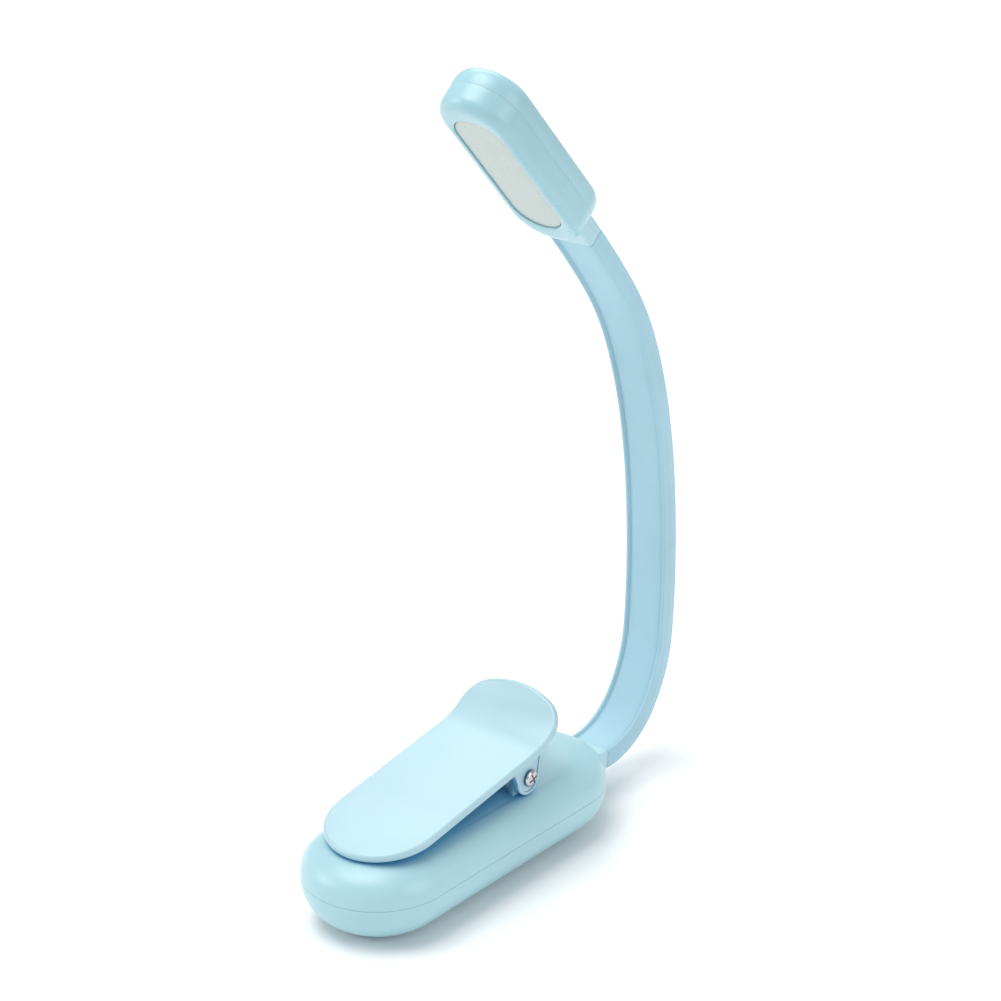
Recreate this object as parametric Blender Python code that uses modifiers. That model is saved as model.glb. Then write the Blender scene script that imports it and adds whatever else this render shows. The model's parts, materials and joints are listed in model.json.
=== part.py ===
"""Clip-on rechargeable reading lamp: a sprung book clip, a flat bendable neck and a small lamp head.

Run with: blender --background --python part.py
Metres, +Z up. The origin is the middle of the flat underside. The clip's tip points to -Y, the
neck rises at +Y, and the on/off button and the charging socket are on the -X side.
"""

import math

import bmesh
import bpy
from mathutils import Matrix, Vector

MM = 0.001

# Base case: a rounded bar whose widest line is the seam between its two shells.
BASE_LENGTH = 72 * MM
BASE_WIDTH = 28.4 * MM
BASE_HEIGHT = 16.4 * MM
SEAM_HEIGHT = 9.1 * MM
UPPER_ROUNDNESS = 2.5
LOWER_ROUNDNESS = 2.3
WALL = 1.5 * MM
SEAM_GAP = 0.3 * MM
FIT_GAP = 0.3 * MM
RING_POINTS = 40

# Clip
PIN_Y = 8.6 * MM
PIN_Z = 18.7 * MM
PIN_RADIUS = 0.9 * MM
PIN_HOLE_RADIUS = 1.0 * MM
PIN_HEAD_RADIUS = 1.65 * MM
JAW_WIDTH = 22.5 * MM
JAW_THICKNESS = 1.6 * MM
JAW_FRONT_Y = -31 * MM
JAW_SLOPE = math.radians(9.6)
JAW_LENGTH = 52.7 * MM
JAW_FLAT_RUN = 39.8 * MM
JAW_CURL_RADIUS = 13 * MM
JAW_CORNER = 6 * MM
JAW_END_RADIUS = 20 * MM
JAW_TOP_AT_PIN = 23.95 * MM
LUG_INNER_X = 8.9 * MM
LUG_THICKNESS = 1.4 * MM
LUG_RADIUS = 3.1 * MM
POST_THICKNESS = 1.4 * MM
POST_RADIUS = 2.6 * MM
SPRING_WIRE = 0.6 * MM
SPRING_RADIUS = 1.7 * MM
SPRING_TURNS = 6

# Neck: a flat strip that leaves the case at the back and bends up and over to the head.
NECK_WIDTH = 9.6 * MM
NECK_THICKNESS = 4.2 * MM
NECK_START = Vector((0, 39.4 * MM, 7.9 * MM))
NECK_START_ANGLE = math.radians(-3)
NECK_LENGTH = 124 * MM
NECK_BENDS = [55, 33, 5.5, 4.5, 7, 9, 16, 4.5]
NECK_SEGMENTS = 6
SLEEVE_WALL = 0.8 * MM
SLEEVE_SIDE_WALL = 1.2 * MM
CORE_RADIUS = 0.7 * MM
CORE_OFFSET = 2.5 * MM
CABLE_RADIUS = 0.9 * MM
# The lamp cable's ends in millimetres: (x, y, z) from the board to the neck, and (y, z) in the head's frame.
CABLE_IN_CASE = [(-5, 16, 10.7), (-5, 21, 10.7), (-4.6, 25, 10.2), (-2.6, 29, 9.2), (-0.6, 32, 8.4)]
CABLE_IN_HEAD = [(-17.5, 0.45), (-15.5, 0.25), (-12.8, -0.1)]

# Head: a flat capsule, in its own frame with +Y along it and +Z out of the lens.
HEAD_LENGTH = 41.0 * MM
HEAD_WIDTH = 15.1 * MM
HEAD_THICKNESS = 9.6 * MM
HEAD_REAR_ROUNDNESS = 3.6
HEAD_EDGE_RADIUS = 2.0 * MM
HEAD_CENTRE = Vector((0, 18.95 * MM, 132.6 * MM))
HEAD_ANGLE = math.radians(132.65)
HEAD_WALL = 1.2 * MM
LENS_LENGTH = 31.5 * MM
LENS_WIDTH = 10.4 * MM
LENS_SETBACK = 0.3 * MM

# Inside the case
BOARD_TOP = 9.4 * MM
BOARD_THICKNESS = 1.0 * MM
BUTTON_Y = -9 * MM
SOCKET_Y = 8 * MM
SIDE_PART_Z = 10.9 * MM
SCREW_YS = {"front": -23.5 * MM, "rear": 23.5 * MM}

# Colours
BLUE_CASE = (0.345, 0.595, 0.675)
BLUE_JAW = (0.425, 0.65, 0.72)
BLUE_NECK = (0.385, 0.615, 0.715)

# Local x, y and z of a flat side outline go to world Y, Z and X.
SIDE_PLANE = Matrix(((0, 0, 1, 0), (1, 0, 0, 0), (0, 1, 0, 0), (0, 0, 0, 1)))
# A turned profile's local z goes to world X.
AXIS_TO_X = Matrix.Rotation(math.pi / 2, 4, "Y")


def clear_scene():
    for obj in list(bpy.data.objects):
        bpy.data.objects.remove(obj, do_unlink=True)


def new_collection(name):
    collection = bpy.data.collections.new(name)
    bpy.context.scene.collection.children.link(collection)
    return collection


def material(name, color, roughness=0.45, metallic=0.0):
    found = bpy.data.materials.get(name)
    if found:
        return found
    made = bpy.data.materials.new(name)
    made.use_nodes = True
    shader = made.node_tree.nodes["Principled BSDF"]
    shader.inputs["Base Color"].default_value = (*color, 1)
    shader.inputs["Roughness"].default_value = roughness
    shader.inputs["Metallic"].default_value = metallic
    return made


def add_part(name, mesh, look=None, matrix=None):
    obj = bpy.data.objects.new(name, mesh)
    PARTS.objects.link(obj)
    if matrix is not None:
        obj.matrix_world = matrix
    if look:
        mesh.materials.append(look)
    return obj


def as_cutter(obj):
    PARTS.objects.unlink(obj)
    CUTTERS.objects.link(obj)
    obj.hide_render = True
    obj.display_type = "WIRE"
    return obj


def boolean(obj, operation, *others):
    """Cuts or joins the other objects, which become hidden helpers."""
    for other in others:
        if other.name in PARTS.objects:
            as_cutter(other)
        modifier = obj.modifiers.new(other.name, "BOOLEAN")
        modifier.operation = operation
        modifier.solver = "EXACT"
        modifier.object = other
    return obj


def mesh_from(bm, name):
    bmesh.ops.recalc_face_normals(bm, faces=bm.faces)
    mesh = bpy.data.meshes.new(name)
    bm.to_mesh(mesh)
    bm.free()
    return mesh


def box(name, low, high, look=None, bevel=0.0, matrix=None):
    low, high = Vector(low), Vector(high)
    bm = bmesh.new()
    bmesh.ops.create_cube(bm, size=1)
    bmesh.ops.scale(bm, vec=high - low, verts=bm.verts)
    bmesh.ops.translate(bm, vec=(low + high) / 2, verts=bm.verts)
    if bevel:
        bmesh.ops.bevel(bm, geom=bm.edges, offset=bevel, segments=2, profile=0.5, affect="EDGES")
    return add_part(name, mesh_from(bm, name), look, matrix)


def rod(name, start, end, radius, look=None, segments=24, bevel=0.0):
    start, end = Vector(start), Vector(end)
    along = end - start
    bm = bmesh.new()
    turn = along.to_track_quat("Z", "Y").to_matrix().to_4x4()
    bmesh.ops.create_cone(
        bm, cap_ends=True, segments=segments, radius1=radius, radius2=radius, depth=along.length,
        matrix=Matrix.Translation((start + end) / 2) @ turn)
    if bevel:
        rims = [edge for edge in bm.edges if len(edge.link_faces) == 2
                and any(len(face.verts) > 4 for face in edge.link_faces)]
        bmesh.ops.bevel(bm, geom=rims, offset=bevel, segments=2, profile=0.5, affect="EDGES")
    return add_part(name, mesh_from(bm, name), look)


def stadium_ring(bm, radius, straight, height, points=RING_POINTS):
    """A loop of edges shaped as a racetrack along Y. No point lies on its middle line."""
    turn = Matrix.Rotation(math.pi / points, 4, "Z")
    place = Matrix.Translation((0, 0, height))
    made = bmesh.ops.create_circle(bm, segments=points, radius=radius, matrix=place @ turn)
    for vert in made["verts"]:
        vert.co.y += math.copysign(straight / 2, vert.co.y)
    return list({edge for vert in made["verts"] for edge in vert.link_edges})


def stadium_loft(name, rings, straight, look=None, matrix=None, caps=(True, True), points=RING_POINTS):
    """Skins racetrack rings, given as (radius, height) from bottom to top."""
    bm = bmesh.new()
    loops = [stadium_ring(bm, radius, straight, height, points) for radius, height in rings]
    for lower, upper in zip(loops, loops[1:]):
        bmesh.ops.bridge_loops(bm, edges=lower + upper)
    for capped, loop in zip(caps, (loops[0], loops[-1])):
        if capped:
            bmesh.ops.contextual_create(bm, geom=loop)
    return add_part(name, mesh_from(bm, name), look, matrix)


def curve_mesh(name, curve, look=None, matrix=None):
    """Makes a curve a closed mesh object."""
    guide = bpy.data.objects.new(name + "_curve", curve)
    PARTS.objects.link(guide)
    if matrix is not None:
        guide.matrix_world = matrix
    graph = bpy.context.evaluated_depsgraph_get()
    mesh = bpy.data.meshes.new_from_object(guide.evaluated_get(graph))
    bm = bmesh.new()
    bm.from_mesh(mesh)
    bmesh.ops.remove_doubles(bm, verts=bm.verts, dist=1e-6)
    bm.to_mesh(mesh)
    bm.free()
    mesh.materials.clear()
    place = guide.matrix_world.copy()
    bpy.data.objects.remove(guide)
    return add_part(name, mesh, look, place)


def flat_outline(name, outline, thickness, look=None, matrix=None):
    """A plate with the given outline, centred on its own plane."""
    curve = bpy.data.curves.new(name, "CURVE")
    curve.dimensions = "2D"
    curve.fill_mode = "BOTH"
    curve.extrude = thickness / 2
    spline = curve.splines.new("POLY")
    spline.points.add(len(outline) - 1)
    for point, (x, y) in zip(spline.points, outline):
        point.co = (x, y, 0, 1)
    spline.use_cyclic_u = True
    return curve_mesh(name, curve, look, matrix)


def wire(name, points, radius, look):
    """A round wire or lead through the points."""
    curve = bpy.data.curves.new(name, "CURVE")
    curve.dimensions = "3D"
    curve.bevel_depth = radius
    curve.bevel_resolution = 2
    curve.use_fill_caps = True
    spline = curve.splines.new("POLY")
    spline.points.add(len(points) - 1)
    for point, place in zip(spline.points, points):
        point.co = (*place, 1)
    obj = bpy.data.objects.new(name, curve)
    PARTS.objects.link(obj)
    curve.materials.append(look)
    return obj


def arc(centre, radius, start, end, steps):
    """Points on an arc, in degrees, both ends included."""
    angles = [math.radians(start + (end - start) * i / steps) for i in range(steps + 1)]
    return [(centre[0] + radius * math.cos(a), centre[1] + radius * math.sin(a)) for a in angles]


# ---------------------------------------------------------------- case shells


def case_rings(lower):
    """(radius, height) of one shell, from its flat face to the seam."""
    half = BASE_WIDTH / 2
    power = 2 / (LOWER_ROUNDNESS if lower else UPPER_ROUNDNESS)
    if lower:
        depth = SEAM_HEIGHT + 0.7 * MM
        flat = math.asin((SEAM_HEIGHT / depth) ** (1 / power))
        angles = [flat * (1 - i / 7) for i in range(8)]
        rings = [(half * math.cos(a) ** power, SEAM_HEIGHT - depth * math.sin(a) ** power) for a in angles]
        return rings[:-1] + [(half, SEAM_HEIGHT - 0.8 * MM), (half, SEAM_HEIGHT - SEAM_GAP / 2)]
    rise = BASE_HEIGHT - SEAM_HEIGHT
    flat = math.radians(78)
    angles = [flat * i / 8 for i in range(9)]
    top = math.sin(flat) ** power
    rings = [(half * math.cos(a) ** power, SEAM_HEIGHT + rise * math.sin(a) ** power / top) for a in angles]
    return [(half, SEAM_HEIGHT + SEAM_GAP / 2), (half, SEAM_HEIGHT + 0.8 * MM)] + rings[1:]


def jaw_top(y):
    """Height of the straight part of the clip's upper face."""
    return JAW_TOP_AT_PIN + (y - PIN_Y) * math.tan(JAW_SLOPE)


def neck_cutter(name, start, end):
    """A stretch of the neck grown by the fit gap, which lets a collar through a shell."""
    outline = strip_outline(start, end, NECK_THICKNESS / 2 + FIT_GAP, False, False)
    return flat_outline(name, outline, NECK_WIDTH + 2 * FIT_GAP, matrix=SIDE_PLANE)


def make_case():
    blue = material("case_blue", BLUE_CASE, 0.4)
    straight = BASE_LENGTH - BASE_WIDTH
    lower = stadium_loft("base_lower_shell", case_rings(True), straight, blue, caps=(True, False))
    upper = stadium_loft("base_upper_shell", case_rings(False), straight, blue, caps=(False, True))
    for shell in (lower, upper):
        skin = shell.modifiers.new("wall", "SOLIDIFY")
        skin.thickness = WALL
        skin.offset = -1
        skin.use_even_offset = True

    # Screw bosses
    for end, y in SCREW_YS.items():
        seat = rod(f"screw_seat_{end}", (0, y, 0.2 * MM), (0, y, 3.0 * MM), 3.2 * MM)
        boss = rod(f"screw_boss_{end}", (0, y, 3.4 * MM), (0, y, BASE_HEIGHT - 0.8 * MM), 2.1 * MM)
        boolean(lower, "UNION", seat)
        boolean(upper, "UNION", boss)
    for end, y in SCREW_YS.items():
        sink = rod(f"screw_sink_{end}", (0, y, -1 * MM), (0, y, 1.6 * MM), 2.2 * MM)
        clearance = rod(f"screw_clearance_{end}", (0, y, 1 * MM), (0, y, 4 * MM), 1.2 * MM)
        pilot = rod(f"screw_pilot_{end}", (0, y, 2 * MM), (0, y, 11 * MM), 0.95 * MM)
        boolean(lower, "DIFFERENCE", sink, clearance)
        boolean(upper, "DIFFERENCE", pilot)

    # Hinge posts for the clip
    for side, name in ((-1, "left"), (1, "right")):
        inner = LUG_INNER_X - FIT_GAP - POST_THICKNESS
        outer = LUG_INNER_X - FIT_GAP
        low_x, high_x = sorted((side * inner, side * outer))
        round_end = rod(f"post_end_{name}", (low_x, PIN_Y, PIN_Z), (high_x, PIN_Y, PIN_Z), POST_RADIUS)
        foot = box(f"post_foot_{name}", (low_x, PIN_Y - POST_RADIUS, 14.6 * MM),
                   (high_x, PIN_Y + POST_RADIUS, PIN_Z))
        boolean(upper, "UNION", round_end, foot)
    across = 13 * MM
    pin_hole = rod("pin_hole", (-across, PIN_Y, PIN_Z), (across, PIN_Y, PIN_Z), PIN_HOLE_RADIUS, segments=16)
    spring_bay = rod("spring_bay", (-6.6 * MM, PIN_Y, PIN_Z), (6.6 * MM, PIN_Y, PIN_Z), 2.4 * MM)
    seat_low = jaw_top(0) - JAW_THICKNESS / math.cos(JAW_SLOPE) - 0.35 * MM
    jaw_seat = box("jaw_seat", (-20 * MM, -40 * MM, 0), (20 * MM, -4 * MM, 6 * MM),
                   matrix=Matrix.Translation((0, 0, seat_low)) @ Matrix.Rotation(JAW_SLOPE, 4, "X"))
    pad_bay = box("base_pad_bay", (-6.3 * MM, -20.3 * MM, BASE_HEIGHT - 0.5 * MM),
                  (6.3 * MM, -7.7 * MM, 20 * MM))
    boolean(upper, "DIFFERENCE", pin_hole, spring_bay, jaw_seat, pad_bay)
    for side, name in ((-1, "left"), (1, "right")):
        start, end = (side * (LUG_INNER_X - FIT_GAP / 2), PIN_Y, PIN_Z), (side * across, PIN_Y, PIN_Z)
        boolean(upper, "DIFFERENCE", rod(f"lug_bay_{name}", start, end, LUG_RADIUS + FIT_GAP))

    # Openings in the side and the back
    button_hole = box("button_hole", (-16 * MM, BUTTON_Y - 4.3 * MM, SIDE_PART_Z - 1.5 * MM),
                      (-10 * MM, BUTTON_Y + 4.3 * MM, SIDE_PART_Z + 1.7 * MM))
    socket_hole = box("socket_hole", (-16 * MM, SOCKET_Y - 4.2 * MM, BOARD_TOP - 0.6 * MM),
                      (-10 * MM, SOCKET_Y + 4.2 * MM, BOARD_TOP + 3.2 * MM))
    light_hole = rod("light_hole", (-16 * MM, 0, SIDE_PART_Z), (-10 * MM, 0, SIDE_PART_Z), 0.95 * MM,
                     segments=16)
    boolean(upper, "DIFFERENCE", button_hole, socket_hole, light_hole)
    for shell, name in ((upper, "upper"), (lower, "lower")):
        boolean(shell, "DIFFERENCE", neck_cutter(f"neck_exit_{name}", -9 * MM, 2 * MM))


def make_screws():
    steel = material("screw_steel", (0.6, 0.6, 0.62), 0.3, 1.0)
    for end, y in SCREW_YS.items():
        screw = rod(f"case_screw_{end}", (0, y, 0.3 * MM), (0, y, 1.3 * MM), 1.8 * MM, steel)
        shank = rod(f"screw_shank_{end}", (0, y, 1.2 * MM), (0, y, 9.5 * MM), 0.75 * MM, segments=12)
        boolean(screw, "UNION", shank)
        for turn in (0, 90):
            place = Matrix.Translation((0, y, 0)) @ Matrix.Rotation(math.radians(turn), 4, "Z")
            slot = box(f"screw_slot_{end}_{turn}", (-1.1 * MM, -0.2 * MM, -1 * MM),
                       (1.1 * MM, 0.2 * MM, 0.7 * MM), matrix=place)
            boolean(screw, "DIFFERENCE", slot)


# ---------------------------------------------------------------- electronics


def make_electronics():
    green = material("board_green", (0.02, 0.2, 0.07), 0.5)
    steel = material("socket_steel", (0.62, 0.63, 0.65), 0.3, 1.0)
    black = material("component_black", (0.02, 0.02, 0.022), 0.5)
    bottom = BOARD_TOP - BOARD_THICKNESS
    board = box("main_board", (-12 * MM, -20 * MM, bottom), (9 * MM, 20 * MM, BOARD_TOP), green)
    for end, y in SCREW_YS.items():
        notch = rod(f"board_notch_{end}", (0, y, bottom - 1 * MM), (0, y, BOARD_TOP + 1 * MM), 4.2 * MM)
        boolean(board, "DIFFERENCE", notch)

    floor = BOARD_TOP + 0.1 * MM
    socket = box("charge_socket", (-13.4 * MM, SOCKET_Y - 3.75 * MM, floor),
                 (-8.2 * MM, SOCKET_Y + 3.75 * MM, floor + 2.7 * MM), steel, 0.3 * MM)
    mouth = box("socket_mouth", (-15 * MM, SOCKET_Y - 3.4 * MM, floor + 0.35 * MM),
                (-9 * MM, SOCKET_Y + 3.4 * MM, floor + 2.35 * MM))
    boolean(socket, "DIFFERENCE", mouth)
    box("socket_tongue", (-12.6 * MM, SOCKET_Y - 1.8 * MM, floor + 1.2 * MM),
        (-9.3 * MM, SOCKET_Y + 1.8 * MM, floor + 1.85 * MM), black)

    box("switch_body", (-9.9 * MM, BUTTON_Y - 2.5 * MM, floor),
        (-7.0 * MM, BUTTON_Y + 2.5 * MM, floor + 3 * MM), black, 0.2 * MM)
    rod("switch_plunger", (-11.0 * MM, BUTTON_Y, SIDE_PART_Z), (-10.5 * MM, BUTTON_Y, SIDE_PART_Z), 0.8 * MM,
        material("plunger_white", (0.8, 0.8, 0.78)), 16)

    blue = material("button_blue", BLUE_CASE, 0.4)
    place = Matrix.Translation((-15.1 * MM, BUTTON_Y, SIDE_PART_Z + 0.1 * MM)) @ AXIS_TO_X
    cap_rings = [(1.0 * MM, 0), (1.25 * MM, 0.3 * MM), (1.25 * MM, 3.6 * MM)]
    cap = stadium_loft("power_button", cap_rings, 5.4 * MM, blue, place, points=20)
    flange = box("button_flange", (-11.7 * MM, BUTTON_Y - 4.8 * MM, SIDE_PART_Z - 1.3 * MM),
                 (-11.15 * MM, BUTTON_Y + 4.8 * MM, SIDE_PART_Z + 1.1 * MM))
    boolean(cap, "UNION", flange)

    box("charge_chip", (-2 * MM, -3 * MM, floor), (3 * MM, 2 * MM, floor + 1.3 * MM), black, 0.15 * MM)
    lens = rod("indicator_lens", (-14.1 * MM, 0, SIDE_PART_Z), (-11.4 * MM, 0, SIDE_PART_Z), 0.7 * MM,
               material("indicator_clear", (0.9, 0.95, 0.95), 0.15), 16)
    lens_foot = box("indicator_foot", (-11.8 * MM, -1.2 * MM, floor),
                    (-10.4 * MM, 1.2 * MM, SIDE_PART_Z + 0.9 * MM))
    boolean(lens, "UNION", lens_foot)

    box("battery_tape", (-7 * MM, -15 * MM, 2.05 * MM), (7 * MM, 13 * MM, 2.45 * MM), black)
    box("battery_cell", (-9 * MM, -17 * MM, 2.8 * MM), (9 * MM, 15 * MM, 7.4 * MM),
        material("battery_foil", (0.7, 0.71, 0.73), 0.35, 0.8), 0.8 * MM)
    for name, x, color in (("battery_lead_red", 4 * MM, (0.6, 0.02, 0.02)),
                           ("battery_lead_black", 7 * MM, (0.02, 0.02, 0.02))):
        top = BOARD_TOP + 1.0 * MM
        path = [(x, 15.4 * MM, 5 * MM), (x, 17.5 * MM, 5 * MM), (x, 20.2 * MM, 6 * MM),
                (x, 21.2 * MM, 8 * MM), (x, 20.9 * MM, 9.8 * MM), (x, 19.6 * MM, top), (x, 17 * MM, top)]
        wire(name, path, 0.5 * MM, material(name, color, 0.5))


# ---------------------------------------------------------------- clip


def jaw_profile(distance):
    """Position along Y and Z, and slope, at a distance along the clip's upper face from its tip."""
    along = Vector((math.cos(JAW_SLOPE), math.sin(JAW_SLOPE)))
    start = Vector((JAW_FRONT_Y, jaw_top(JAW_FRONT_Y)))
    if distance <= JAW_FLAT_RUN:
        return start + along * distance, JAW_SLOPE
    slope = JAW_SLOPE + (distance - JAW_FLAT_RUN) / JAW_CURL_RADIUS
    centre = start + along * JAW_FLAT_RUN + Vector((-along.y, along.x)) * JAW_CURL_RADIUS
    return centre + Vector((math.sin(slope), -math.cos(slope))) * JAW_CURL_RADIUS, slope


def jaw_outline():
    """The clip seen from above, laid flat: a round tip, rounded back corners and a bowed back edge."""
    half = JAW_WIDTH / 2
    corner_x = half - JAW_CORNER
    bow_centre = JAW_LENGTH - JAW_END_RADIUS
    corner_y = bow_centre + math.sqrt((JAW_END_RADIUS - JAW_CORNER) ** 2 - corner_x ** 2)
    meet = math.degrees(math.atan2(corner_y - bow_centre, corner_x))
    outline = arc((0, half), half, 180, 360, 24)
    outline += arc((corner_x, corner_y), JAW_CORNER, 0, meet, 6)
    outline += arc((0, bow_centre), JAW_END_RADIUS, meet, 180 - meet, 6)[1:-1]
    outline += arc((-corner_x, corner_y), JAW_CORNER, 180 - meet, 180, 6)
    return outline


def make_jaw():
    blue = material("jaw_blue", BLUE_JAW, 0.35)
    bm = bmesh.new()
    bmesh.ops.contextual_create(bm, geom=[bm.verts.new((x, y, 0)) for x, y in jaw_outline()])
    curl_steps = 8
    for i in range(curl_steps):
        cut = Vector((0, JAW_FLAT_RUN + (JAW_LENGTH - JAW_FLAT_RUN) * i / curl_steps, 0))
        geometry = list(bm.verts) + list(bm.edges) + list(bm.faces)
        bmesh.ops.bisect_plane(bm, geom=geometry, plane_co=cut, plane_no=(0, 1, 0))
    for vert in bm.verts:
        (y, z), _ = jaw_profile(vert.co.y)
        vert.co.y, vert.co.z = y, z
    bm.normal_update()
    if sum(face.normal.z for face in bm.faces) < 0:
        bmesh.ops.reverse_faces(bm, faces=bm.faces)
    mesh = bpy.data.meshes.new("clip_jaw")
    bm.to_mesh(mesh)
    bm.free()
    jaw = add_part("clip_jaw", mesh, blue)
    plate = jaw.modifiers.new("plate", "SOLIDIFY")
    plate.thickness = JAW_THICKNESS
    plate.offset = -1
    edge = jaw.modifiers.new("edge", "BEVEL")
    edge.width = 0.45 * MM
    edge.segments = 2
    edge.limit_method = "ANGLE"
    edge.angle_limit = math.radians(50)

    for side, name in ((-1, "left"), (1, "right")):
        low_x, high_x = sorted((side * LUG_INNER_X, side * (LUG_INNER_X + LUG_THICKNESS)))
        centre_y, centre_z = PIN_Y - 0.4 * MM, PIN_Z - 0.1 * MM
        ear = rod(f"lug_end_{name}", (low_x, centre_y, centre_z), (high_x, centre_y, centre_z), LUG_RADIUS)
        web = box(f"lug_web_{name}", (low_x, centre_y - LUG_RADIUS, centre_z),
                  (high_x, centre_y + LUG_RADIUS, jaw_top(centre_y) - 1.2 * MM))
        boolean(jaw, "UNION", ear, web)
    across = 13 * MM
    hole = rod("lug_hole", (-across, PIN_Y, PIN_Z), (across, PIN_Y, PIN_Z), PIN_HOLE_RADIUS, segments=16)
    boolean(jaw, "DIFFERENCE", hole)

    rubber = material("pad_rubber", (0.6, 0.75, 0.8), 0.8)
    under = jaw_top(0) - (JAW_THICKNESS + 0.1 * MM) / math.cos(JAW_SLOPE)
    tilt = Matrix.Translation((0, 0, under)) @ Matrix.Rotation(JAW_SLOPE, 4, "X")
    box("jaw_grip_pad", (-6 * MM, -18 * MM, -0.6 * MM), (6 * MM, -7 * MM, 0), rubber, 0.15 * MM, tilt)
    box("base_grip_pad", (-6 * MM, -20 * MM, BASE_HEIGHT - 0.3 * MM),
        (6 * MM, -8 * MM, BASE_HEIGHT + 0.05 * MM), rubber)


def make_hinge():
    steel = material("hinge_steel", (0.7, 0.7, 0.72), 0.25, 1.0)
    outer = LUG_INNER_X + LUG_THICKNESS
    pin = rod("hinge_pin", (-outer - 0.9 * MM, PIN_Y, PIN_Z), (outer + 0.3 * MM, PIN_Y, PIN_Z),
              PIN_RADIUS, steel, 16)
    head = rod("pin_head", (outer + 0.1 * MM, PIN_Y, PIN_Z), (outer + 0.8 * MM, PIN_Y, PIN_Z),
               PIN_HEAD_RADIUS, bevel=0.2 * MM)
    boolean(pin, "UNION", head)
    for turn in (20, 110):
        place = Matrix.Translation((0, PIN_Y, PIN_Z)) @ Matrix.Rotation(math.radians(turn), 4, "X")
        slot = box(f"pin_slot_{turn}", (outer + 0.5 * MM, -0.9 * MM, -0.18 * MM),
                   (outer + 2 * MM, 0.9 * MM, 0.18 * MM), matrix=place)
        boolean(pin, "DIFFERENCE", slot)
    nut = rod("hinge_nut", (-outer - 1.0 * MM, PIN_Y, PIN_Z), (-outer - 0.15 * MM, PIN_Y, PIN_Z),
              1.6 * MM, steel, 6)
    nut_hole = rod("nut_hole", (-20 * MM, PIN_Y, PIN_Z), (-5 * MM, PIN_Y, PIN_Z), PIN_HOLE_RADIUS,
                   segments=16)
    boolean(nut, "DIFFERENCE", nut_hole)

    spring_wire = material("spring_wire", (0.55, 0.56, 0.58), 0.3, 1.0)
    pitch = SPRING_WIRE * 1.5
    start_x = -SPRING_TURNS * pitch / 2
    per_turn = 12
    points = []
    for i in range(SPRING_TURNS * per_turn + 1):
        angle = 2 * math.pi * i / per_turn - math.pi / 2
        points.append((start_x + pitch * i / per_turn,
                       PIN_Y + SPRING_RADIUS * math.cos(angle), PIN_Z + SPRING_RADIUS * math.sin(angle)))
    low_leg = [(start_x, PIN_Y + 8 * MM, BASE_HEIGHT + 0.75 * MM),
               (start_x, PIN_Y + 2.5 * MM, BASE_HEIGHT + 0.5 * MM)]
    last = points[-1]
    high_leg = [(last[0], PIN_Y + 2.4 * MM, PIN_Z + 2.1 * MM), (last[0], PIN_Y + 5.5 * MM, PIN_Z + 4.6 * MM)]
    # The last turn stops at its top, where the upper leg leaves it.
    wire("torsion_spring", low_leg + points[:-per_turn // 2] + high_leg, SPRING_WIRE / 2, spring_wire)


# ---------------------------------------------------------------- neck


def neck_point(distance):
    """Centre point and direction angle at a distance along the neck."""
    piece = NECK_LENGTH / len(NECK_BENDS)
    place = NECK_START.copy()
    angle = NECK_START_ANGLE
    if distance < 0:
        return place + Vector((0, math.cos(angle), math.sin(angle))) * distance, angle
    for bend in NECK_BENDS:
        run = min(piece, max(0, distance))
        turn = math.radians(bend) * run / piece
        chord = run if abs(turn) < 1e-9 else 2 * math.sin(turn / 2) * run / turn
        middle = angle + turn / 2
        place = place + Vector((0, math.cos(middle), math.sin(middle))) * chord
        angle += turn
        distance -= run
    return place + Vector((0, math.cos(angle), math.sin(angle))) * distance, angle


def neck_offset(distance, rise, side=0.0):
    """A point of the neck, offset towards its inner face and along X."""
    place, angle = neck_point(distance)
    return place + Vector((side, -math.sin(angle) * rise, math.cos(angle) * rise))


def strip_outline(start, end, half, round_start, round_end):
    """Side outline of a stretch of the neck. A round end turns inside the next one's hollow end."""
    near_radius = half + FIT_GAP
    near = start + (math.sqrt(near_radius ** 2 - half ** 2) if round_start else 0)
    steps = 8
    stations = [near + (end - near) * i / steps for i in range(steps + 1)]
    inner = [neck_offset(s, half) for s in stations]
    outer = [neck_offset(s, -half) for s in reversed(stations)]
    points = [(p.y, p.z) for p in inner]
    if round_end:
        place, angle = neck_point(end)
        turn = math.degrees(angle)
        points += arc((place.y, place.z), half, turn + 90, turn - 90, 10)[1:-1]
    points += [(p.y, p.z) for p in outer]
    if round_start:
        place, angle = neck_point(start)
        first = Vector(points[-1]) - Vector((place.y, place.z))
        last = Vector(points[0]) - Vector((place.y, place.z))
        a0, a1 = math.degrees(math.atan2(first.y, first.x)), math.degrees(math.atan2(last.y, last.x))
        if a1 < a0:
            a1 += 360
        points += arc((place.y, place.z), near_radius, a0, a1, 10)[1:-1]
    return points


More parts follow.
